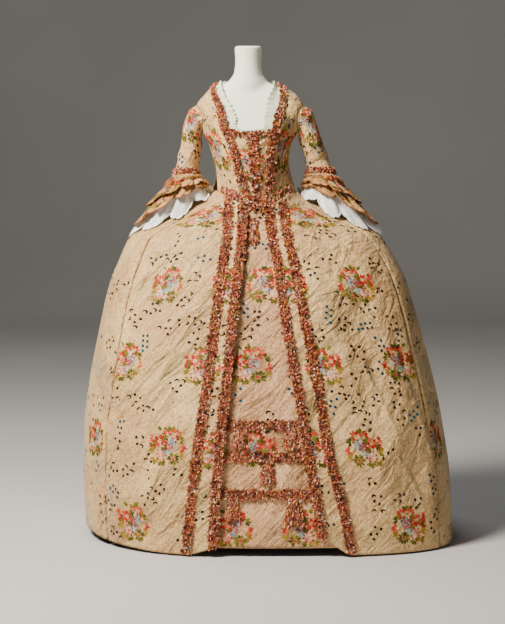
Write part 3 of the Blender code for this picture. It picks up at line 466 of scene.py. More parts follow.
fronts = {side: bodice_front(side) for side in SIDES}
stomacher = Cloth(stomacher_place)
back = Cloth(bodice_back_place)
for side, front in fronts.items():
    front.sewn(f"bodice_front_{side}_silk", "bodice_front_" + side, gown_silk, 44, 110, SILK_WALL,
               "gown_silk", (0.20, 0.40), rests=["torso"], area=0.042)
stomacher.sewn("stomacher_silk", "stomacher", gown_silk, 40, 70, SILK_WALL, "gown_silk", (0.125, 0.20),
               rests=["torso"], area=0.0165)
back.sewn("bodice_back_silk", "bodice_back", gown_silk, 60, 70, SILK_WALL, "gown_silk", (0.40, 0.34),
          rests=["torso"], area=0.10)


# ---- gown skirt: two open fronts and two side panels of the same silk, pleated small into the
# waist and pressed out over side hoops, with old creases from having been folded away.
# At a height: how far it reaches to each side, where its middle lies, how deep it is in front and
# behind, how square its plan is, and how far its widest points lie back (+) or forward (-). mm.
SKIRT = chart(
    "height left right middle front back square swing_left swing_right",
    (8, -531, 564, 15, 383, 512, 2.5, 60, -70),
    (75, -536, 560, 14, 378, 503, 2.5, 56, -66),
    (171, -539, 556, 11, 368, 487, 2.5, 50, -56),
    (339, -534, 531, 3, 346, 455, 2.45, 38, -40),
    (459, -517, 507, -2, 322, 425, 2.4, 28, -28),
    (579, -494, 477, -5, 292, 392, 2.4, 18, -18),
    (699, -468, 447, -10, 258, 350, 2.35, 10, -10),
    (771, -447, 423, -11, 230, 318, 2.3, 5, -5),
    (819, -426, 399, -12, 208, 293, 2.3, 2, -2),
    (867, -405, 369, -13, 183, 262, 2.25, 0, 0),
    (891, -391, 352, -14, 168, 243, 2.2, 0, 0),
    (915, -352, 318, -15, 153, 222, 2.15, 0, 0),
    (939, -300, 270, -15, 138, 195, 2.1, 0, 0),
    (969, -231, 200, -16, 122, 160, 2.05, 0, 0),
    (999, -171, 137, -17, 108, 125, 2.0, 0, 0),
    (1029, -134, 98, -18, 99, 92, 2.0, 0, 0),
)
# Folds: where each is (degrees), how wide, how deep (mm), the heights between which it runs, and
# how far it leans with height (degrees a metre). Those narrower than 3 are sharp creases.
FOLDS = chart(
    "angle width depth foot head lean",
    (-101, 9, 7, 20, 620, 12),
    (-78, 7, -6, 30, 780, -6),
    (-66, 5, -5, 40, 700, 6),
    (-47, 5, 5, 30, 260, 50),
    (-39, 4, -6, 30, 300, 55),
    (-31, 4, 4, 60, 330, 60),
    (-44, 6, -4, 300, 640, 30),
    (21, 5, 4, 260, 820, -6),
    (33, 5, -5, 250, 700, -5),
    (50, 6, -4, 60, 560, -10),
    (57, 5, 5, 20, 420, -12),
    (75, 7, -7, 20, 720, 8),
    (92, 7, 7, 20, 700, -8),
    (108, 8, -6, 20, 640, 4),
    (-36, 1.4, 3.4, 150, 400, 95),
    (-41, 1.2, -3.8, 330, 560, 80),
    (-50, 1.6, 3.8, 260, 520, 70),
    (-29, 1.2, 3.2, 420, 640, 60),
    (-33, 1.2, -3.2, 60, 240, -80),
    (-56, 1.6, 4.0, 40, 240, 90),
    (-24, 1.2, 3.2, 90, 330, 55),
    (-46, 1.5, 3.4, 560, 740, 60),
    (-38, 1.0, 2.6, 380, 600, 85),
    (-44, 1.1, 3.0, 350, 600, 88),
    (-32, 1.0, -2.6, 330, 520, 75),
    (-27, 1.3, 3.0, 560, 860, 12),
    (-35, 1.6, 3.4, 640, 900, 20),
    (-48, 1.8, 3.8, 620, 880, -10),
    (38, 1.3, 3.4, 300, 560, -50),
    (28, 1.2, -3.0, 120, 330, -40),
    (46, 1.4, 3.4, 90, 330, -70),
    (24, 1.1, 3.0, 470, 700, -30),
    (54, 1.6, -3.6, 400, 700, -30),
    (34, 1.5, 3.4, 330, 640, -8),
    (42, 1.4, -3.2, 560, 860, -15),
    (58, 1.8, 4.0, 180, 520, -25),
)


def skirt_plain(angle, height, folds=1.0):
    """Points of the gown's skirt at an angle (-180 to 180) and a height in millimetres."""
    angle, height = np.broadcast_arrays(np.asarray(angle, float), np.asarray(height, float))
    s, c = np.sin(np.radians(angle)), np.cos(np.radians(angle))
    power = 2 / read(SKIRT, "square", height)
    middle = read(SKIRT, "middle", height)
    reach = np.where(s > 0, read(SKIRT, "right", height), read(SKIRT, "left", height)) - middle
    depth = np.where(c > 0, -read(SKIRT, "front", height), read(SKIRT, "back", height))
    swing = np.where(s > 0, read(SKIRT, "swing_right", height), read(SKIRT, "swing_left", height))
    across, along = np.abs(s) ** power, np.abs(c) ** power
    relief = np.zeros(np.shape(angle))
    for k in range(len(FOLDS["key"]) if folds else 0):
        foot, head = FOLDS["foot"][k], FOLDS["head"][k]
        line = FOLDS["angle"][k] + FOLDS["lean"][k] * (height - (foot + head) / 2) * MM
        share = np.clip((height - foot) / (head - foot), 0, 1)
        ridge = FOLDS["depth"][k] * np.exp(-((angle - line) / FOLDS["width"][k]) ** 2)
        relief += ridge * np.sin(math.pi * share)
    scale = 1 + folds * relief / np.hypot(reach * across, depth * along)
    y = depth * along + swing * across ** 3
    return xyz(middle + reach * across * scale, y * scale, height)


def skirt(angle, height, out=0.0, folds=1.0):
    """The same points moved out of the cloth by a distance in metres."""
    height = np.asarray(height, float)
    across = skirt_plain(angle + 0.5, height, 0) - skirt_plain(angle - 0.5, height, 0)
    top = np.minimum(height + 4, SKIRT["height"][-1])
    up = skirt_plain(angle, top, 0) - skirt_plain(angle, top - 8, 0)
    normal = np.cross(across, up)
    normal /= np.linalg.norm(normal, axis=-1)[..., None] + 1e-12
    return skirt_plain(angle, height, folds) + np.asarray(out)[..., None] * normal


def skirt_angle(x, height):
    """The angle at which the front of the skirt passes each x (millimetres)."""
    middle = read(SKIRT, "middle", height)
    reach = np.where(x > middle, read(SKIRT, "right", height), read(SKIRT, "left", height)) - middle
    share = np.clip(np.abs((x - middle) / reach), 0, 1)
    return np.sign(x - middle) * np.degrees(np.arcsin(share ** (read(SKIRT, "square", height) / 2)))


SIDE_SEAM = {"left": 55, "right": 63}
SEAM_DIP = 0.005            # the stitching draws the cloth in at a side seam, metres
BACK_SEAM = 118             # degrees: where the side panels meet the pleated back
# Middle lines of the two fringes on each gown front, at a height. Millimetres.
FRONTS = chart(
    "height left_edge left_trim right_edge right_trim",
    (8, -142, -217, 174, 253),
    (137, -136, -204, 157, 227),
    (306, -123, -185, 126, 185),
    (473, -105, -160, 100, 157),
    (640, -89, -139, 70, 125),
    (806, -70, -116, 46, 93),
    (917, -59, -102, 24, 68),
    (1008, -56, -97, 17, 54),
)
# The hem's height above the floor; the inner corners of the open fronts curl up.
HEM = chart(
    "angle lift",
    (-180, 6), (-110, 9), (-84, 30), (-55, 16), (-21, 5), (-11, 26), (11, 54), (21, 6), (110, 6), (180, 6),
)
# Levels of the sheets, mm: the waist edge draws them down to HEAD_TO, the hem lifts them up to
# HEM_FROM. DROP sets the rows closer together where the cloth curves over the hips.
HEAD, HEAD_TO, HEM_FROM, FOOT, DROP = 1025, 910, 205, 8, 1.15


def waist_height(angle):
    """Height of the gown's waist seam: just under the bodice's lower edge. Millimetres."""
    x = skirt_plain(angle, 1010)[..., 0] / MM
    share = np.abs(x - read(BODY, "lean", WAIST_FRONT)) / read(BODY, "half", WAIST_FRONT)
    turn = np.where(np.abs(angle) > 90, 90.0, np.degrees(np.arcsin(np.clip(share, 0, 1))))
    return body(turn, read(WAIST_EDGE, "ring", turn))[..., 2] / MM - 4


def gown_height(angle, height):
    """A level height of the cloth fitted between the waist edge and the hem at an angle. mm."""
    upper = blend(waist_height(angle), HEAD_TO, (HEAD - height) / (HEAD - HEAD_TO))
    lower = blend(HEM_FROM, read(HEM, "lift", angle), (HEM_FROM - height) / (HEM_FROM - FOOT))
    return np.where(height > HEAD_TO, upper, np.where(height < HEM_FROM, lower, height))


def drop(v, head, foot):
    """Heights down a long sheet."""
    return blend(head, foot, v ** DROP)


def gown_front(side):
    sign = SIDES[side]

    def angle_at(u, height):
        edge = read(FRONTS, side + "_edge", height) - sign * TRIM_WIDTH / 2
        inner = skirt_angle(edge, height)
        return sign * blend(sign * inner, SIDE_SEAM[side] - 0.1, u)

    def place(u, v):
        level = drop(v, HEAD, FOOT)
        height = level
        for _ in range(3):
            angle = angle_at(u, height)
            height = gown_height(angle, level)
        return skirt(angle, height, -SEAM_DIP * np.exp(-((1 - u) / 0.012) ** 2))

    return Cloth(place)


def gown_side(side):
    sign = SIDES[side]

    def place(u, v):
        angle = sign * blend(SIDE_SEAM[side] + 0.1, BACK_SEAM - 0.12, u)
        height = gown_height(angle, drop(v, HEAD, FOOT))
        return skirt(angle, height, -SEAM_DIP * np.exp(-(u / 0.012) ** 2))

    return Cloth(place)


skirts = {}
for side in SIDES:
    skirts["front_" + side] = gown_front(side)
    skirts["front_" + side].sewn(
        f"gown_front_{side}_silk", "gown_front_" + side, gown_silk, 100, 150, SILK_WALL, "gown_silk",
        (0.62, 1.16), "gathered", ["petticoat_front_silk"], area=0.42)
    skirts["side_" + side] = gown_side(side)
    skirts["side_" + side].sewn(
        f"gown_side_{side}_silk", "gown_side_" + side, gown_silk, 60, 120, SILK_WALL, "gown_silk",
        (0.58, 1.16), "gathered", [f"petticoat_back_{side}_silk"], area=0.50)


# ---- sack back: the loose back, seamed widths of silk set in two stitched double box pleats at the
# neck and let fall free to the hem, where they join the skirt behind the hips.
BACK_FALL = chart(
    "height half side middle pleat",
    (6, 360, 200, 500, 7),
    (300, 360, 180, 450, 9),
    (600, 360, 160, 390, 13),
    (840, 360, 150, 318, 18),
    (900, 304, 140, 288, 20),
    (960, 226, 131, 252, 21),
    (1005, 146, 126, 226, 21),
    (1050, 106, 121, 200, 20),
    (1100, 100, 117, 178, 18),
    (1160, 108, 111, 155, 16),
    (1250, 124, 98, 126, 12),
    (1315, 110, 74, 97, 8),
)
# A box pleat on each side of the middle, each with a second under it: across the back, 0 to 1.
PLEAT = chart("across rise", (0, 0), (0.05, 0), (0.09, 1), (0.29, 1), (0.33, 0.5), (0.5, 0.5), (0.55, 0),
              (1, 0))
BACK_TOP = 1315.0           # where the pleats are stitched at the neck, mm


def sack_back_place(u, v):
    across, height = 1 - 2 * u, blend(BACK_TOP, FOOT, v)
    angle = 180 - across * (180 - BACK_SEAM - 0.12)
    angle = np.where(angle > 180, angle - 360, angle)
    low = skirt_plain(angle, np.minimum(height, 1000), 0.0)
    half = read(BACK_FALL, "half", height)
    lean = read(SKIRT, "middle", height) + read(BODY, "lean", 5) * ease((height - 900) / 300)
    y = blend(read(BACK_FALL, "middle", height), read(BACK_FALL, "side", height), np.abs(across) ** 2.2)
    spot = blend(low, xyz(lean + half * across, y, height), ease((height - 800) / 140)[..., None])
    spot[..., 1] += read(PLEAT, "rise", np.abs(across)) * read(BACK_FALL, "pleat", height) * MM
    sway = 0.004 * np.sin(7 * across + 0.004 * height) * ease((700 - height) / 400)
    spot[..., 1] += sway * (1 - np.abs(across) ** 4)
    spot[..., 2] = height * MM
    return spot


skirts["back"] = Cloth(sack_back_place)
skirts["back"].sewn("sack_back_silk", "sack_back", gown_silk, 120, 120, SILK_WALL, "gown_silk", (1.30, 1.45),
                    "hung", ["bodice_back_silk"], area=1.25)


# ---- petticoat: the matching skirt shown in the opening, a front and a back of seamed silk tied at
# the waist, coloured pinker and darker than the gown: painted shade. Three bands of fringe are sewn across its
# front.
PETTICOAT_SEAM = 62         # degrees from the middle of the front
PETTICOAT_HEAD, PETTICOAT_FOOT = 1000, 26
# The same silk as the gown's, coloured pinker and darker as painted shade.
petticoat_silk = faille("petticoat_silk_faille", "#E2B484", "#C0936A", "#A8502F", 0.62)


def petticoat_point(angle, height):
    """The skirt's surface moved in under the gown, and less so at the sides of the waist."""
    under = 14 * (1 - 0.25 * ease((height - 900) / 100))
    held = ease((height - 970) / 28) * ease((18 - np.abs(np.abs(angle) - 84)) / 8)
    under = blend(under, 2.5, held)
    return skirt(angle, height, -under * MM, 0.5)


def petticoat_front_place(u, v):
    angle = blend(-PETTICOAT_SEAM, PETTICOAT_SEAM, u)
    return petticoat_point(angle, drop(v, PETTICOAT_HEAD, PETTICOAT_FOOT))


def petticoat_back_place(side):
    def place(u, v):
        height = drop(v, PETTICOAT_HEAD, PETTICOAT_FOOT)
        middle = 180 - np.degrees(0.95 / read(SKIRT, "back", height))
        return petticoat_point(SIDES[side] * blend(PETTICOAT_SEAM + 0.75, middle, u), height)

    return place


petticoat_front = Cloth(petticoat_front_place)
petticoat_front.sewn("petticoat_front_silk", "petticoat_front", petticoat_silk, 100, 110, SILK_WALL,
                     "petticoat_silk", (1.25, 1.12), "gathered", ["torso"], area=0.95)
petticoat_backs = {}
for side in SIDES:
    petticoat_backs[side] = Cloth(petticoat_back_place(side))
    petticoat_backs[side].sewn(
        f"petticoat_back_{side}_silk", "petticoat_back_" + side, petticoat_silk, 60, 60, SILK_WALL,
        "petticoat_silk", (1.05, 1.12), "gathered", ["torso"], area=0.8)


# ---- sleeves: elbow-length, close-fitting and cut in one piece of the gown silk, set into the
# armhole and wrinkled where the arm bends; a ruched band of fringe closes each at the elbow.
SLEEVES = {
    "left": chart(
        "step outer_x outer_z inner_x inner_z depth middle",
        (1, -216, 1263, -180, 1180, 46, 2),
        (2, -234, 1209, -178, 1162, 45, 0),
        (3, -242, 1155, -180, 1138, 43, -4),
        (4, -250, 1118, -186, 1110, 41, -8),
        (5, -261, 1070, -189, 1072, 40, -12),
    ),
    "right": chart(
        "step outer_x outer_z inner_x inner_z depth middle",
        (1, 146, 1263, 107, 1180, 46, 2),
        (2, 166, 1208, 110, 1164, 45, 0),
        (3, 184, 1156, 121, 1140, 43, -4),
        (4, 197, 1117, 129, 1112, 41, -8),
        (5, 214, 1075, 133, 1074, 40, -12),
    ),
}
ARMHOLE_ROWS = np.array((5.8, 5.95, 6.2, 6.5, 6.8, 6.97, 7.05))


def sleeve_spot(side, turn, step):
    """Points round the sleeve; turn is 0 outside, 90 in front and 180 inside."""
    table, c, s = SLEEVES[side], np.cos(np.radians(turn)), np.sin(np.radians(turn))
    outer = xyz(read(table, "outer_x", step), 0, read(table, "outer_z", step))
    inner = xyz(read(table, "inner_x", step), 0, read(table, "inner_z", step))
    spot = (outer + inner) / 2 + (outer - inner) / 2 * c[..., None]
    spot[..., 1] = (read(table, "middle", step) - read(table, "depth", step) * s) * MM
    spot[..., 2] += 0.010 * s * ease((step - 3.5) / 1.5)
    return spot


def sleeve(side):
    sign = SIDES[side]

    def armhole(u):
        column = np.where(u <= 0.5, u, 1 - u) * 12
        ring = np.interp(column, range(7), ARMHOLE_ROWS)
        angle = np.where(u <= 0.5, *(np.interp(ring, ARMHOLE_RINGS, way) for way in ARMHOLE_ANGLES))
        return body(sign * angle, ring) + np.array((sign * 0.001, 0, -0.0003))

    def place(u, v):
        turn, step = 360 * (u % 1), 5 * v
        arm = sleeve_spot(side, turn, np.maximum(step, 1))
        bend = np.exp(-((step - 3.9) / 0.8) ** 2)
        wrinkle = 0.0016 * np.sin(26 * v + 2.2 * np.sin(np.radians(turn) + 1)) * bend
        wrinkle += 0.0009 * np.sin(15 * v + 3 * np.cos(np.radians(turn))) * ease(step - 0.6)
        arm[..., 0] += wrinkle * np.cos(np.radians(turn)) * sign
        arm[..., 1] -= wrinkle * np.sin(np.radians(turn))
        head = armhole(u % 1)
        return blend(head, arm, np.clip(step, 0, 1)[..., None] ** 0.9)

    return Cloth(place, closed=True)


sleeves = {side: sleeve(side) for side in SIDES}
for side, arm in sleeves.items():
    arm.sewn(f"sleeve_{side}_silk", "sleeve_" + side, gown_silk, 60, 70, SILK_WALL, "gown_silk", (0.29, 0.25),
             rests=[f"bodice_front_{side}_silk"], area=0.047)


# ---- sleeve ruffles: two flounces of the gown silk with scalloped, tan-bound edges, and under
# them the engageante of fine white cotton, whose scallops are worked with eyelets.
# How wide each starts against the sleeve, the outer and inner ends of its hem, half its depth,
# how it flares, and how far it stays off the skirt. Millimetres.
RUFFLES = {
    "left": chart(
        "layer start outer_x outer_z inner_x inner_z depth flare clear",
        (0, 0.99, -340, 978, -163, 1046, 76, 0.85, 22),
        (1, 0.93, -377, 923, -160, 1038, 78, 1.2, 12),
        (2, 0.87, -390, 898, -147, 1025, 76, 1.35, 5),
    ),
    "right": chart(
        "layer start outer_x outer_z inner_x inner_z depth flare clear",
        (0, 0.99, 292, 986, 120, 1046, 77, 0.85, 22),
        (1, 0.86, 341, 926, 119, 1038, 78, 1.2, 12),
        (2, 0.79, 352, 908, 108, 1024, 76, 1.35, 5),
    ),
}


def skirt_height(x, y):
    """How high the dome of the skirt stands under each place (metres in and out)."""
    low, high = np.full(np.shape(x), 300.0), np.full(np.shape(x), 1029.0)
    for _ in range(20):
        height = (low + high) / 2
        middle = read(SKIRT, "middle", height)
        side = np.where(x / MM > middle, read(SKIRT, "right", height), read(SKIRT, "left", height))
        depth = np.where(y < 0, read(SKIRT, "front", height), read(SKIRT, "back", height))
        power = read(SKIRT, "square", height)
        inside = np.abs((x / MM - middle) / (side - middle)) ** power + np.abs(y / MM / depth) ** power < 1
        low, high = np.where(inside, height, low), np.where(inside, high, height)
    return low * MM


def ruffle(side, layer):
    value = {name: column[layer] for name, column in RUFFLES[side].items()}
    outer, inner = xyz(value["outer_x"], 0, value["outer_z"]), xyz(value["inner_x"], 0, value["inner_z"])
    head = (sleeve_spot(side, np.array(0.0), 5.0) + sleeve_spot(side, np.array(180.0), 5.0)) / 2

    def place(u, v):
        turn = 2 * math.pi * (u % 1)
        start = (sleeve_spot(side, np.degrees(turn), 5.0) - head) * value["start"]
        end = (outer - inner) / 2 * np.cos(turn)[..., None]
        end[..., 1] = -value["depth"] * MM * np.sin(turn)
        arm = blend(start, end, (v ** value["flare"])[..., None])
        if layer < 2:       # long rolled folds with deep valleys between them
            wave = 0.017 * v ** 0.8 * (0.3 - (1 - np.abs(np.sin(5.5 * turn + 0.4))) ** 3)
        else:
            wave = 0.008 * v * (np.sin(8 * turn) + 0.3 * np.sin(16 * turn + 0.8))
        if layer == 0:      # the puff under the elbow
            wave = wave + 0.007 * np.exp(-((v - 0.17) / 0.1) ** 2)
            wave = wave - 0.005 * np.exp(-((v - 0.42) / 0.07) ** 2)
        wave = wave + 0.0018 * v * np.sin(19 * turn + 5 * v)
        arm = arm * (1 + wave / np.linalg.norm(arm, axis=-1))[..., None]
        spot = blend(head, (outer + inner) / 2, v[..., None]) + arm
        spot[..., 2] -= 0.0012 + 0.018 * v * np.maximum(-np.sin(turn), 0)
        spot[..., 2] += (0.020, 0.018, -0.034)[layer] * v ** 2 * np.maximum(np.sin(turn), 0)
        spot[..., 2] += (0.003, 0.005, 0.008)[layer] * v * np.sin(8 * turn + 0.8 * np.sin(8 * turn) + layer)
        ground = skirt_height(spot[..., 0], spot[..., 1]) + value["clear"] * MM * (0.4 + 0.6 * v)
        spot[..., 2] = np.maximum(spot[..., 2], ground)
        return spot

    return Cloth(place, closed=True)


# Cotton lawn: a fine plain weave of matt white thread, thin enough to let a little light through.
lawn, tree, shader = finish("cotton_lawn", "#E9E9E5", Roughness=0.8, Sheen_Weight=0.2, Subsurface_Weight=0.15,
                            Subsurface_Scale=0.004)
flat = node(tree, "UVMap", uv_map="cloth").outputs["UV"]
weave = node(tree, "TexChecker", {"Scale": 900.0}, {"Vector": flat})
bump = node(tree, "Bump", {"Strength": 0.2, "Distance": 0.0002}, {"Height": weave.outputs["Fac"]})
tree.links.new(bump.outputs["Normal"], shader.inputs["Normal"])
place = node(tree, "TexCoord").outputs["Object"]
tint = node(tree, "TexNoise", {"Scale": 30.0, "Detail": 2.0}, {"Vector": place})
tinted = ramp(tree, tint.outputs["Fac"], (0.3, "#DFE0DC"), (0.65, "#F0F0EC"))
# eyelets about 4 mm across with their worked edge and 12 mm apart, in a band above the hem, coloured
# grey-brown as painted shade seen through the holes
eyelet = node(tree, "TexVoronoi", {"Scale": 80.0, "Randomness": 0.5}, {"Vector": flat})
hole = node(tree, "Math", {1: 0.17}, {0: eyelet.outputs["Distance"]}, operation="LESS_THAN")
fall = node(tree, "Attribute", attribute_name="fall").outputs["Fac"]
band = node(tree, "Math", {1: 0.82, 2: 0.09}, {0: fall}, operation="COMPARE")
shaded_eyelets = node(tree, "Math", links={0: hole.outputs[0], 1: band.outputs[0]}, operation="MULTIPLY")
pierced = node(tree, "Mix", {7: linear("#857F76")}, {0: shaded_eyelets.outputs[0], 6: tinted}, data_type="RGBA")
tree.links.new(pierced.outputs[2], shader.inputs["Base Color"])

# Each ruffle from the top one down: its flat cut and the cut's area in metres, how many scallops
# it has round the hem and how deep they are.
RUFFLE_CUTS = (
    ("flounce_upper", (0.55, 0.12), 0.033, 26, 0.0045),
    ("flounce_lower", (0.62, 0.17), 0.048, 30, 0.005),
    ("engageante", (0.66, 0.19), 0.055, 34, 0.005),
)


def scalloped(count, depth, deep):
    """Draws the last rows of a ruffle in between the scallops' points."""
    def edge(points, u, v):
        notch = depth * (1 - np.abs(np.sin(math.pi * count * u))) ** 1.5
        if deep:            # the small scallops follow eight deep ones
            notch = notch + 0.022 * (1 - np.abs(np.sin(8 * math.pi * u + 0.5))) ** 1.3
        length = np.linalg.norm(points[:, -1] - points[:, 0], axis=1)
        share = (notch / length)[:, None] * ease((v - 0.55) / 0.45)[None, :]
        step = points[:, :1] - points
        return points + step * share[..., None]

    return edge


ruffles = {}
# The flounces are the gown's silk, coloured darker here as painted shade.
flounce_silk = faille("flounce_silk_faille", "#DDAE6C", "#B07F48", "#954826")
# The hems are bound with a tan silk edging 5 mm wide.
tree = flounce_silk.node_tree
ground = tree.nodes["Principled BSDF"].inputs["Base Color"]
fall = node(tree, "Attribute", attribute_name="fall").outputs["Fac"]
bound = node(tree, "Mix", {"Factor": 1.0}, data_type="RGBA", blend_type="MULTIPLY")
tree.links.new(ground.links[0].from_socket, bound.inputs[6])
edging = ramp(tree, fall, (0.0, "#FFFFFF"), (0.95, "#D49A5A"), interpolation="CONSTANT")
tree.links.new(edging, bound.inputs[7])
tree.links.new(bound.outputs[2], ground)
for side in SIDES:
    for layer, (part, flat, area, scallops, depth) in enumerate(RUFFLE_CUTS):
        ruffles[part, side] = hanging = ruffle(side, layer)
        white = part == "engageante"
        kind, silk, wall, slot = ("lawn", lawn, 0.0012, "whitework") if white else (
            "silk", flounce_silk, 0.0015, "gown_silk")
        hanging.sewn(f"{part}_{side}_{kind}", f"{part}_{side}", silk, 8 * scallops, 22, wall, slot, flat,
                     "gathered", [f"sleeve_{side}_silk"], area=area, edge=scalloped(scallops, depth, white))


# ---- neck frill: a gathered strip of off-white cotton lace, pointed along its free edge and tacked
# inside the neckline all the way round, where it stands a few millimetres clear.
FRILL = chart(
    "turn root_angle root_ring edge_angle edge_ring stand",
    (0, 0, 6.33, 0, 5.98, 0),
    (18, 18, 6.32, 13, 5.92, 0),
    (27, 26, 6.25, 15, 5.72, 0),
    (42, 30, 5.70, 15.5, 5.25, 0),
    (56, 38, 5.15, 21, 4.75, 1),
    (70, 51, 4.65, 33, 4.2, 3),
    (86, 71, 4.25, 58, 3.75, 6),
    (100, 88, 4.12, 84, 3.5, 5),
    (120, 112, 4.05, 112, 3.5, 3),
    (180, 180, 4.05, 180, 3.5, 3),
)


def frill_place(u, v):
    turn = 360 * (u % 1)
    sign, half_turn = np.where(turn <= 180, 1, -1), np.where(turn <= 180, turn, 360 - turn)
    angle = blend(read(FRILL, "root_angle", half_turn), read(FRILL, "edge_angle", half_turn), v)
    ring = blend(read(FRILL, "root_ring", half_turn), read(FRILL, "edge_ring", half_turn), v)
    free = np.maximum(v - 0.4, 0) / 0.6
    stand_off = read(FRILL, "stand", half_turn) * free
    wave = 1.3 * free * np.sin(16 * np.radians(turn)) + 1.3 * free * np.sin(61 * np.radians(turn))
    spot = body(sign * angle, ring, (-5.4 + 2.6 * free + stand_off + wave) * MM)
    spot[..., 2] += 0.35 * (stand_off + wave) * MM
    return spot


def frill_edge(points, u, v):
    """Small points along the free edge, with the lace's body pulled back between them."""
    notch = 0.10 * (1 - np.abs(np.sin(math.pi * 58 * u)))[:, None] * ease((v - 0.7) / 0.3)[None, :]
    return points + (points[:, :1] - points) * notch[..., None]


# Cotton lace: matt thread over a ground of small meshes, 2 mm apart, whose holes are coloured darker as
# painted shade.
lace, tree, shader = finish("gathered_cotton_lace", Roughness=0.85, Sheen_Weight=0.2)
flat = node(tree, "UVMap", uv_map="cloth").outputs["UV"]
mesh_holes = node(tree, "TexVoronoi", {"Scale": 520.0, "Randomness": 0.15}, {"Vector": flat})
tree.links.new(ramp(tree, mesh_holes.outputs["Distance"], (0.25, "#C6C8AE"), (0.5, "#E9ECD4")),
               shader.inputs["Base Color"])
bump = node(tree, "Bump", {"Strength": 0.5, "Distance": 0.0005}, {"Height": mesh_holes.outputs["Distance"]})
tree.links.new(bump.outputs["Normal"], shader.inputs["Normal"])
frill = Cloth(frill_place, closed=True)
frill.sewn("neck_frill_lace", "neck_frill", lace, 464, 12, 0.001, "lace", (1.3, 0.05), "gathered",
           ["torso"], area=0.022, edge=frill_edge)


# ---- fly fringe: a narrow headed braid on which bunches of knotted floss silk are tied, each a
# spray of soft ends in rust, salmon, cream, gold, maroon or olive; rows of it are sewn on by hand
# as robings, down the open fronts, across the petticoat and at the neck, waist and elbows.
# Maroon is a real colour of the floss; its large share also stands in as painted shade in the gaps between the
# ends.
FLOSS = (
    ("#BC4E2C", 20), ("#D66E44", 26), ("#E68C62", 24), ("#EEB48A", 12), ("#F7E2C0", 7),
    ("#E39824", 13), ("#5A1C14", 16), ("#7C742A", 6), ("#963C26", 12),
)
SHADES = np.array([linear(colour)[:3] for colour, share in FLOSS for _ in range(share)])
floss_seed = np.random.default_rng(7)


def painted(name, points, faces, shades, material):
    """A mesh from many small shapes, each face with its own colour in the attribute 'silk'."""
    mesh = bpy.data.meshes.new(name)
    mesh.from_pydata(points.tolist(), [], faces)
    tone = mesh.attributes.new("silk", "FLOAT_COLOR", "FACE")
    values = np.ones((len(faces), 4), np.float32)
    values[:, :3] = shades
    tone.data.foreach_set("color", values.ravel())
    mesh.materials.append(material)
    return placed(name, mesh)


def dyed(name, scale, detail, dark, light_from, **sockets):
    """Silk in the colours of the attribute 'silk', with painted shade darkening it here and there, as between
    its threads.
    """
    material, tree, shader = finish(name, **sockets)
    dye = node(tree, "Attribute", attribute_name="silk").outputs["Color"]
    place = node(tree, "TexCoord").outputs["Object"]
    uneven = node(tree, "TexNoise", {"Scale": scale, "Detail": detail}, {"Vector": place})
    thread_shade = node(tree, "Mix", {"Factor": 0.5}, data_type="RGBA", blend_type="MULTIPLY")
    tree.links.new(dye, thread_shade.inputs[6])
    # painted shade: the noise darkens the dye here and there, as between the threads
    shadow = ramp(tree, uneven.outputs["Fac"], (0.3, dark), (light_from, "#FFFFFF"))
    tree.links.new(shadow, thread_shade.inputs[7])
    tree.links.new(thread_shade.outputs[2], shader.inputs["Base Color"])
    return material


# Floss silk: untwisted and glossy along its length, with painted shade darkening it between the ends.
floss = dyed("floss_silk", 260.0, 2.0, "#BDB4AC", 0.58, Roughness=0.55, Sheen_Weight=0.3, Sheen_Roughness=0.4)


def sprays(roots, outs, along, size, ends, spread, droop):
    """Bunches of floss: at each root a spray of tapered ends, a few bent outward and down."""
    count = len(roots)
    side = np.cross(along, outs)
    angle = floss_seed.uniform(0, 2 * math.pi, (count, ends))
    lean = floss_seed.uniform(0.25, 1.0, (count, ends)) ** 0.7 * spread
    flat = (np.cos(angle)[..., None] * side[:, None] + np.sin(angle)[..., None] * along[:, None] * 0.75)
    way = flat * np.sin(lean)[..., None] + outs[:, None] * np.cos(lean)[..., None]
    length = size * floss_seed.uniform(0.6, 1.15, (count, ends))
    shift = (side[:, None] * floss_seed.uniform(-0.35, 0.35, (count, ends, 1))
             + along[:, None] * floss_seed.uniform(-0.25, 0.25, (count, ends, 1))) * size
    across = np.cross(way, floss_seed.normal(size=way.shape))
    across /= np.linalg.norm(across, axis=-1)[..., None]
    width = size * floss_seed.uniform(0.22, 0.38, (count, ends, 1))
    down = np.array((0, 0, -1.0))
    root = roots[:, None] + shift
    middle = root + way * (length * 0.6)[..., None]
    tip = middle + (way * 0.45 + down * droop) * (length * 0.55)[..., None]
    low = np.minimum(0, ((tip - roots[:, None]) * outs[:, None]).sum(-1) - 0.0008)[..., None]
    tip = tip - low * outs[:, None]
    half, broad = across * width * 0.5, across * width * 0.7
    points = np.stack([root - half, root + half, middle + broad, middle - broad, tip], 2).reshape(-1, 3)
    first = np.arange(count * ends) * 5
    quads = np.stack([first, first + 1, first + 2, first + 3], 1)
    tips = np.stack([first + 3, first + 2, first + 4], 1)
    bunch = SHADES[floss_seed.integers(0, len(SHADES), count)]
    mixed = SHADES[floss_seed.integers(0, len(SHADES), (count, ends))]
    own = floss_seed.random((count, ends, 1)) < 0.45
    # Each end is made lighter or darker at random: partly uneven dye, partly painted highlight and painted
    # shade among the ends.
    shades = np.where(own, mixed, bunch[:, None]) * floss_seed.uniform(0.35, 1.3, (count, ends, 1))
    shades = np.clip(shades, 0, 1).reshape(-1, 3)
    return points, quads, tips, shades


BUNCH_PITCH, BUNCH_ENDS = 0.0046, 11       # from bunch to bunch in a row, metres, and its ends


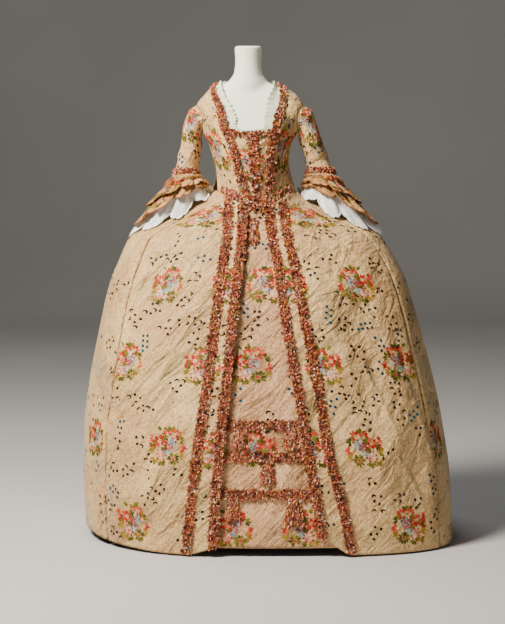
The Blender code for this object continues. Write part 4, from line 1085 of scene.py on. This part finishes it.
def fly_fringe(name, host, line, length, rows=2, size=0.0122, droop=0.35):
    """One length of fringe on a cloth: line(t, a) is its path, a across it, 0 to 1; mm of length."""
    def path(t, a, rise):
        return host.at(*line(np.clip(t, 0, 1), np.full(len(t), a)), rise)

    count = max(int(length * MM / BUNCH_PITCH), 3)
    t = (np.arange(count) + 0.5) / count
    roots, outs, ways = [], [], []
    for row in range(rows):
        a = 0.5 if rows == 1 else 0.2 + 0.6 * row / (rows - 1)
        jitter = floss_seed.uniform(-0.4, 0.4, count) / count
        where = t + jitter
        here = path(where, a, 0.0016)
        up = path(where, a, 0.0116) - here
        run = path(where + 0.004, a, 0.0016) - path(where - 0.004, a, 0.0016)
        roots.append(here)
        outs.append(up / np.linalg.norm(up, axis=1)[:, None])
        ways.append(run / np.linalg.norm(run, axis=1)[:, None])
    roots, outs, ways = map(np.concatenate, (roots, outs, ways))
    points, quads, tips, shades = sprays(roots, outs, ways, size, BUNCH_ENDS, 1.4, droop)
    # the braid that the bunches are tied on
    steps = max(int(length / 6), 4)
    u, a = np.meshgrid(np.linspace(0, 1, steps + 1), (0.2, 0.35, 0.65, 0.8), indexing="ij")
    lift = np.where((a > 0.3) & (a < 0.7), 0.0020, 0.0013)
    braid = host.at(*line(u, a), lift).reshape(-1, 3)
    base = len(points)
    k = base + (np.arange(steps)[:, None] * 4 + np.arange(3)).ravel()
    strip = np.stack([k, k + 1, k + 5, k + 4], 1)
    faces = quads.tolist() + tips.tolist() + strip.tolist()
    brown = np.tile(np.array(linear("#8E4A38")[:3]), (len(strip), 1))
    piece = painted(name + "_floss", np.concatenate([points, braid]), faces,
                    np.concatenate([shades, shades, brown]), floss)
    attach(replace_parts(piece, name), "root")
    return piece


def level_v(v, head, foot):
    """Undoes drop(): how far down the sheet a level height lies."""
    return np.clip((np.asarray(head, float) - v) / (head - foot), 0, 1) ** (1 / DROP)


sewn_on = {}
for side in SIDES:
    front = fronts[side]
    sewn_on["bodice_front", side] = [
        fly_fringe("robing_fringe_" + side, front,
                   lambda t, a: (0.2 * (0.05 + 0.92 * a), 0.006 + 0.994 * t), 372),
        fly_fringe("waist_fringe_" + side, front,
                   lambda t, a: (0.212 + 0.44 * t, 0.952 + 0.046 * a), 78, droop=1.1),
    ]
    sheet = skirts["front_" + side]
    sign = SIDES[side]

    def on_front(which, t, a, side=side, sign=sign):
        level = blend(HEAD - 3.0, FOOT + 4.0, t)
        height = level
        for _ in range(3):
            x = read(FRONTS, side + which, height) + sign * (a - 0.5) * TRIM_WIDTH
            angle = skirt_angle(x, height)
            inner = skirt_angle(read(FRONTS, side + "_edge", height) - sign * TRIM_WIDTH / 2, height)
            height = gown_height(angle, level)
        u = (angle - inner) / (sign * (SIDE_SEAM[side] - 0.1) - inner)
        return u, level_v(level, HEAD, FOOT)

    sewn_on["gown_front", side] = [
        fly_fringe("edge_fringe_" + side, sheet, lambda t, a: on_front("_edge", t, a), 1010),
        fly_fringe("front_fringe_" + side, sheet, lambda t, a: on_front("_trim", t, a), 1030),
    ]
    sewn_on["sleeve", side] = [
        fly_fringe("elbow_fringe_" + side, sleeves[side],
                   lambda t, a: (0.754 + 0.992 * t, (4.75 + 0.25 * (0.02 + 0.95 * a)) / 5), 250, size=0.010)]


def on_stomacher(t, a):
    """Down the middle of the stomacher, over more of its width as it narrows to the point."""
    return blend(0.37, 0.1, t ** 4) + blend(0.26, 0.8, t ** 4) * a, 0.065 + 0.93 * t


sewn_on["stomacher"] = [
    fly_fringe("neckline_fringe", stomacher,
               lambda t, a: (0.03 + 0.94 * t, 0.054 * (0.05 + 0.95 * a)), 120, size=0.011),
    fly_fringe("stomacher_fringe", stomacher, on_stomacher, 190)]
sewn_on["bodice_back"] = [
    fly_fringe("back_neck_fringe", back, lambda t, a: (0.01 + 0.98 * t, 0.02 * a + 0.001), 200, 1, 0.010)]


def petticoat_uv(angle, height):
    """A place on the petticoat's front by its angle and height."""
    return (angle + PETTICOAT_SEAM) / (2 * PETTICOAT_SEAM), level_v(height, PETTICOAT_HEAD, PETTICOAT_FOOT)


def on_petticoat(top, t, a):
    height = top - 25 * a
    ends = [skirt_angle(read(FRONTS, side + "_edge", height) + sign * 8, height)
            for side, sign in SIDES.items()]
    return petticoat_uv(blend(ends[0], ends[1], t), height)


sewn_on["petticoat"] = [
    fly_fringe(f"petticoat_band_{number}", petticoat_front,
               lambda t, a, top=top: on_petticoat(top, t, a), length, 3)
    for number, (top, length) in enumerate(((387.0, 240), (298.0, 265), (192.0, 290)), 1)]


# Bunches of the same fringe hanging on the petticoat, each tied to a band or to the point of the
# bodice: place across, top, width and length in millimetres.
PENDANTS = chart(
    "number x top width length",
    (1, -67, 362, 30, 45), (2, 86, 361, 38, 50), (3, 14, 273, 28, 60), (4, -84, 165, 26, 56),
    (5, 90, 165, 40, 74), (6, -28, 946, 30, 62),
)
for k in range(len(PENDANTS["key"])):
    x, top, width, length = (PENDANTS[name][k] for name in ("x", "top", "width", "length"))
    across, down = np.meshgrid(np.linspace(-0.5, 0.5, int(width / 5) + 1),
                               np.linspace(0.02, 0.96, int(length / 4.5)), indexing="ij")
    kept = floss_seed.random(across.shape) > 1.3 * (np.abs(across) - 0.1) * (1.2 - down)
    across, down = across[kept], down[kept]
    height = top - down * length
    spread = x + across * width * (0.8 + 0.4 * down) + floss_seed.normal(0, 1, height.shape)
    u, v = petticoat_uv(skirt_angle(spread, height), height)
    outs = petticoat_front.at(u, v, 1.0) - petticoat_front.at(u, v)
    ways = np.cross(outs, (0, 0, 1.0))
    rise = 0.0045 * (1 - (2 * across) ** 2 * 0.6)
    roots = petticoat_front.at(u, v, rise)
    points, quads, tips, shades = sprays(roots, outs, ways, 0.0115, 9, 1.35, 0.8)
    piece = painted(f"fringe_pendant_{k + 1}_floss", points, quads.tolist() + tips.tolist(),
                    np.concatenate([shades, shades]), floss)
    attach(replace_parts(piece, f"fringe_pendant_{k + 1}"), "root")
    sewn_on["petticoat"].append(piece)


# ---- brocading: motifs woven in with extra wefts of coloured floss silk that lie a little proud of
# the ground: small bouquets, blue dots in zigzags and drifts of curled black spots.
# Its threads are darkened here and there with painted shade.
brocading = dyed("brocading_silk", 420.0, 1.0, "#BDB7AE", 0.55, Roughness=0.7, Specular_IOR_Level=0.2)

# The fans of strokes that make one bouquet, charted: where each stands from its middle,
# where its strokes begin and how long and broad they are, how many, the turn of the first, how far
# they sweep and their colour. Millimetres and degrees.
FANS = (
    (9, 35, 5, 19, 11, 3, 52, 84, 0), (-12, 42, 2, 17, 10, 1, 150, 0, 0),
    (38, 16, 3, 14, 7.5, 5, -35, 150, 0), (-3, 20, 0, 13, 8, 6, 20, 300, 0),
    (17, 6, 2, 17, 9, 8, 0, 315, 4), (4, -16, 1, 15, 8.5, 5, 190, 200, 4),
    (-30, 0, 2, 13, 7.5, 4, 120, 120, 0), (10, 1, 5, 12, 8.5, 8, 10, 315, 3),
    (10, 1, 0, 6, 6, 3, 60, 240, 3), (-19, 11, 5, 14, 9.5, 8, 0, 315, 2), (-19, 11, 0, 5, 4, 3, 0, 240, 5),
    (2, 33, 3, 13, 6.5, 6, 0, 180, 2), (28, 35, 3, 12, 6.5, 6, -50, 200, 2),
    (-38, 18, 2, 14, 6.5, 5, 110, 150, 2), (-37, -1, 3, 11, 6.5, 4, 150, 100, 3),
    (46, -8, 2, 12, 6.5, 5, -90, 160, 2), (27, 18, 2, 10, 6, 5, 0, 280, 3),
    (-12, -28, 3, 11, 8, 9, 0, 320, 5), (-12, -28, 12, 7, 6, 8, 30, 320, 3),
    (-30, -14, 4, 20, 10, 3, 158, 62, 1), (26, -37, 5, 14, 7.5, 11, 0, 327, 0),
    (26, -37, 0, 6, 5, 4, 0, 270, 2), (-30, -40, 2, 15, 7.5, 5, 180, 160, 1),
    (-8, -45, 2, 14, 7.5, 5, 215, 130, 0), (42, -26, 2, 13, 7, 4, -60, 130, 1),
    (-4, -8, 0, 12, 8, 5, 180, 240, 0),
)
# Olive leaves, gold leaves, coral, red, grey-blue and pale pink.
TONES = (
    ("#5C5A16", "#76701F", "#403F12"), ("#94781A", "#7A6818", "#AE8A28"), ("#C4301F", "#D6523A", "#A82018"),
    ("#A01418", "#BE2A22", "#7E1014"), ("#8FA6A0", "#A9B8AC", "#7B958F"), ("#E0A588", "#EDCFAE", "#CC705A"),
)
POSY_ROOM, SPOT_ROOM, DOT_ROOM = 58, 14.5, 13       # how far the next spot stays from each, mm
motif_seed = np.random.default_rng(21)


class Drawing:
    """Flat shapes gathered for one cloth, then laid on it as one mesh."""

    def __init__(self, host, columns, rows):
        self.host, self.points, self.faces, self.shades = host, [], [], []
        self.taken, self.posies = [], []
        self.u, self.v = np.meshgrid(*(np.linspace(0.003, 0.997, n) for n in (columns, rows)), indexing="ij")
        self.grid = host.place(self.u, self.v)
        across = np.gradient(self.grid, self.u[:, 0], axis=0)
        along = np.gradient(self.grid, self.v[0], axis=1)
        self.front = host.way * np.cross(along, across)[..., 1] < 0.02
        self.scale = np.linalg.norm(np.stack([across, along], -2), axis=-1)
        self.flip = np.sign(across[..., 0] + 1e-9) * np.where(self.front, 1, -1)

    def nearest(self, x, z):
        """The grid place that is seen from the front at x, z, and how far off it is. mm."""
        away = np.hypot(self.grid[..., 0] / MM - x, self.grid[..., 2] / MM - z) + np.where(self.front, 0, 400)
        best = np.unravel_index(np.argmin(away), away.shape)
        return best, away[best]

    def shape(self, best, outline, colour):
        """One flat shape, its outline in millimetres right and up from a grid place."""
        outline = np.asarray(outline, float)
        u = self.u[best] + outline[:, 0] * MM / self.scale[best][0] * self.flip[best]
        v = self.v[best] - outline[:, 1] * MM / self.scale[best][1]
        if min(u.min(), v.min()) < 0.002 or max(u.max(), v.max()) > 0.998:
            return
        first = len(self.points)
        self.points.extend(np.stack([u, v], 1).tolist())
        self.faces.append(list(range(first, first + len(outline))))
        self.shades.append(np.array(linear(colour)[:3]) * motif_seed.uniform(0.8, 1.12))

    def stroke(self, best, x, y, turn, length, width, colour):
        """A pointed stroke of silk, like a leaf or a petal."""
        c, s = math.cos(math.radians(turn)), math.sin(math.radians(turn))
        leaf = [(0, 0), (0.35, 0.5), (0.75, 0.38), (1, 0), (0.75, -0.38), (0.35, -0.5)]
        self.shape(best, [(x + a * length * c - b * width * s, y + a * length * s + b * width * c)
                          for a, b in leaf], colour)

    def bouquet(self, best, mirror=1):
        self.taken.append((self.grid[best][0] / MM, self.grid[best][2] / MM, POSY_ROOM))
        self.posies.append((self.u[best], self.v[best]))
        for x, y, inner, length, breadth, strokes, turn, sweep, tone in FANS:
            for n in range(strokes):
                way = turn + sweep * n / max(strokes - 1, 1) + motif_seed.uniform(-10, 10)
                way = way if mirror > 0 else 180 - way
                c, s = math.cos(math.radians(way)), math.sin(math.radians(way))
                reach = length * motif_seed.uniform(0.85, 1.15)
                self.stroke(best, mirror * x + inner * c, y + inner * s, way + motif_seed.uniform(-12, 12),
                            reach, breadth * motif_seed.uniform(0.8, 1.1),
                            TONES[tone][motif_seed.integers(3)])

    def dot(self, best, x, y):
        ring = [(x + 4.6 * math.cos(k * 0.785), y + 4.6 * math.sin(k * 0.785)) for k in range(8)]
        self.shape(best, ring, "#0D4A60")
        self.stroke(best, x - 1, y - 3.4, motif_seed.uniform(20, 60), 6, 3.4, "#1B2226")

    def curl(self, best, x, y):
        """A black spot: a plain fleck, or a curl with a pale eye."""
        dark = ("#1A0F0D", "#110A09", "#2C1A15")[motif_seed.integers(3)]
        if motif_seed.random() < 0.62:
            self.stroke(best, x - 4, y, motif_seed.uniform(-20, 70), motif_seed.uniform(9, 12.5),
                        motif_seed.uniform(7.2, 9.2), dark)
            return
        start, radius = motif_seed.uniform(200, 380), motif_seed.uniform(6.8, 8.4)
        turns = np.radians(start + np.linspace(0, 230, 6))
        width = (1.8, 4.6, 6.6, 6.2, 4.0, 1.8)
        for k in range(5):
            (a, b), (p, q) = turns[k:k + 2], width[k:k + 2]
            self.shape(best, [(x + r * math.cos(t), y + 0.8 * r * math.sin(t)) for r, t in (
                (radius, a), (radius, b), (radius - q, b), (radius - p, a))], dark)

    def group(self, best, count, reach, lean, kind="curl"):
        """Spots strewn about a short line, clear of each other and of the bouquets."""
        c, s = math.cos(math.radians(lean)), math.sin(math.radians(lean))
        middle = self.grid[best][::2] / MM
        long, broad = max(reach + 8, 17 * count ** 0.5), 2.5 + 3.4 * count ** 0.5
        for n in range(int(count)):
            for _ in range(30):
                along = ((n + 0.5) / count - 0.5) * long + motif_seed.normal(0, 5)
                off = (7 if n % 2 else -7) if kind == "dot" else motif_seed.normal(0, broad)
                x, y = along * c - off * s, along * s + off * c
                place = middle + (x, y)
                if all(math.hypot(*(place - other[:2])) > other[2] for other in self.taken):
                    self.taken.append((*place, SPOT_ROOM if kind == "curl" else DOT_ROOM))
                    getattr(self, kind)(best, x, y)
                    break

    def lay(self, name):
        """The shapes as one thin mesh on the cloth."""
        u, v = np.array(self.points).T
        spots = self.host.at(u, v, 0.0006)
        piece = painted(name, spots, self.faces, np.clip(self.shades, 0, 1), brocading)
        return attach(piece, "root")


# Bouquets on the cloth in front, about a half drop from row to row: each row's height and the places
# along it. Millimetres.
BOUQUETS = (
    (1245, (-210, 135)), (1160, (-140, 65)), (1110, (-25,)), (955, (-165, 130)),
    (765, (-280, -95, 15, 80, 275)), (540, (-395, -175, -50, 180, 400)),
    (310, (-490, -275, -145, 0, 150, 295, 505)), (85, (-375, -95, 115, 425)),
)
ROW_PITCH, PLACE_PITCH = 0.21, 0.24         # of the other bouquets, along and across the cloth, metres
# How much cloth there is for each drift that is tried, how far a drift stays from the next and
# from a bouquet, and the share of drifts that are dots. Metres.
DRIFT_AREA, DRIFT_CLEAR, POSY_CLEAR, DOTTED = 0.0032, 0.042, 0.064, 0.16


def posies(drawing, everywhere=False):
    """Bouquets on the cloth that can't be seen from the front, as far apart as on the rest."""
    width, length = drawing.scale.mean((0, 1))
    columns, rows = max(round(width / PLACE_PITCH), 1), max(round(length / ROW_PITCH), 1)
    last = np.array(drawing.u.shape) - 1
    for i in range(columns):
        for j in range(rows):
            u, v = (i + 0.5 + (0.22 if j % 2 else -0.22)) / columns, (j + 0.5) / rows
            best = tuple((np.array((u, v)) * last).astype(int))
            narrow = drawing.scale[best][0] < 0.6 * width
            if (everywhere or not drawing.front[best]) and not (narrow and (i + j) % 2):
                drawing.bouquet(best, 1 if i % 2 else -1)


def drifts(drawing):
    """Drifts of spots strewn over a whole cloth, clear of its bouquets and of each other."""
    width, length = drawing.scale.mean((0, 1))
    last = np.array(drawing.u.shape) - 1
    strewn = []
    for _ in range(int(width * length / DRIFT_AREA)):
        u, v = motif_seed.uniform(0.02, 0.98, 2)
        best = tuple((np.array((u, v)) * last).astype(int))
        clear = all(math.hypot((u - a) * width, (v - b) * length) > POSY_CLEAR for a, b in drawing.posies)
        clear = clear and all(math.hypot((u - a) * width, (v - b) * length) > DRIFT_CLEAR for a, b in strewn)
        if clear and motif_seed.random() < drawing.scale[best][0] / width:
            strewn.append((u, v))
            drawing.group(best, motif_seed.integers(3, 8), motif_seed.uniform(12, 34),
                          motif_seed.uniform(-90, 90), "dot" if motif_seed.random() < DOTTED else "curl")


drawings = {}
for side in SIDES:
    drawings["gown_front", side] = Drawing(skirts["front_" + side], 110, 220)
for side in SIDES:
    drawings["gown_side", side] = Drawing(skirts["side_" + side], 90, 180)
    drawings["bodice_front", side] = Drawing(fronts[side], 60, 90)
    drawings["sleeve", side] = Drawing(sleeves[side], 90, 70)
drawings["stomacher"] = Drawing(stomacher, 50, 70)
drawings["petticoat"] = Drawing(petticoat_front, 110, 160)


ON_CLOTH = 7                # a place this near to a cloth lies on it, mm


def place_of(x, z):
    """The foremost cloth at a place seen from the front, and the grid place on it."""
    found = [(drawing, *drawing.nearest(x, z)) for drawing in drawings.values()]
    for drawing, best, away in found:
        if away < ON_CLOTH:
            return drawing, best
    return min(found, key=lambda item: item[2])[:2]


for z, places in BOUQUETS:
    for x in places:
        drawing, best = place_of(x, z)
        drawing.bouquet(best, 1 if x < -30 else -1)
for side in SIDES:
    posies(drawings["gown_side", side])
    posies(drawings["sleeve", side])
drawings["bodice_back"] = Drawing(back, 80, 80)
drawings["sack_back"] = Drawing(skirts["back"], 160, 200)
for part in ("bodice_back", "sack_back"):
    posies(drawings[part])
for side in SIDES:
    for part in ("flounce_upper", "flounce_lower"):
        drawings[part, side] = Drawing(ruffles[part, side], 120, 40)
        posies(drawings[part, side], True)
for drawing in drawings.values():
    drifts(drawing)
for key, drawing in drawings.items():
    title = key if isinstance(key, str) else "_".join(key)
    sewn_on.setdefault(key, []).append(drawing.lay(title + "_brocading"))


# ---- the cuts: declare() is called on every sheet of cloth with the fringe and the brocading that are
# sewn on it, and does nothing with them.
for side in SIDES:
    fronts[side].declare(*sewn_on["bodice_front", side])
    skirts["front_" + side].declare(*sewn_on["gown_front", side])
    skirts["side_" + side].declare(*sewn_on["gown_side", side])
    sleeves[side].declare(*sewn_on["sleeve", side])
    for part, *_ in RUFFLE_CUTS:
        ruffles[part, side].declare(*sewn_on.get((part, side), ()))
stomacher.declare(*sewn_on["stomacher"])
back.declare(*sewn_on["bodice_back"])
skirts["back"].declare(*sewn_on["sack_back"])
petticoat_front.declare(*sewn_on["petticoat"])
for side in SIDES:
    petticoat_backs[side].declare()
frill.declare()


# ---- studio: a pale floor and wall in one sweep, soft light from high on the left and a weaker one
# from the right, and the camera at chest height, looking a little down.
sweep = bpy.data.meshes.new("studio_sweep")
bend = [(6 + 3 * math.sin(a), 3 - 3 * math.cos(a)) for a in np.linspace(0, math.pi / 2, 12)]
line = [(-30.0, 0.0), *bend, (9.0, 12.0)]
corners = [(x, y, z) for y, z in line for x in (-20.0, 20.0)]
sweep.from_pydata(corners, [], [(k, k + 1, k + 3, k + 2) for k in range(0, 2 * len(line) - 2, 2)])
sweep.shade_smooth()
paper, tree, shader = finish("matt_paper_sweep", "#C4C3C1", Roughness=0.95)
place = node(tree, "TexCoord").outputs["Object"]
tone = node(tree, "TexNoise", {"Scale": 0.6, "Detail": 2.0}, {"Vector": place})
grey = ramp(tree, tone.outputs["Fac"], (0.3, "#BAB9B7"), (0.7, "#C4C3C1"))
tree.links.new(grey, shader.inputs["Base Color"])
sweep.materials.append(paper)
placed("studio_sweep", sweep)


def soft_light(name, spot, aim, size, power, colour):
    lamp = bpy.data.lights.new(name, "AREA")
    lamp.size, lamp.energy, lamp.color = size, power, linear(colour)[:3]
    stand = placed(name, lamp)
    stand.location = spot
    stand.rotation_euler = (Vector(aim) - Vector(spot)).to_track_quat("-Z", "Y").to_euler()


soft_light("key", (-1.75, -1.75, 3.1), (-0.15, -0.1, 1.15), 1.0, 325, "#FFF6E8")
soft_light("fill", (2.6, -4.8, 1.8), (0, 0, 0.8), 2.6, 13, "#F4F4FA")
soft_light("top", (-0.6, 1.2, 4.0), (0, 0, 0.9), 1.6, 40, "#FFFFFF")
world = bpy.data.worlds.new("studio")
world.use_nodes = True
world.node_tree.nodes["Background"].inputs["Color"].default_value = linear("#D8DADD")
world.node_tree.nodes["Background"].inputs["Strength"].default_value = 0.09
bpy.context.scene.world = world

HALF_VIEW, CAMERA_TILT = 0.154521, 5.5877       # half the view's height at 1 m, and degrees down
camera = bpy.data.cameras.new("camera")
camera.sensor_fit = "VERTICAL"
camera.angle_y = 2 * math.atan(HALF_VIEW)
viewer = placed("camera", camera)
viewer.location = (-0.0285, -6.0, 1.25)
viewer.rotation_euler = (math.radians(90 - CAMERA_TILT), 0, 0)
bpy.context.scene.camera = viewer
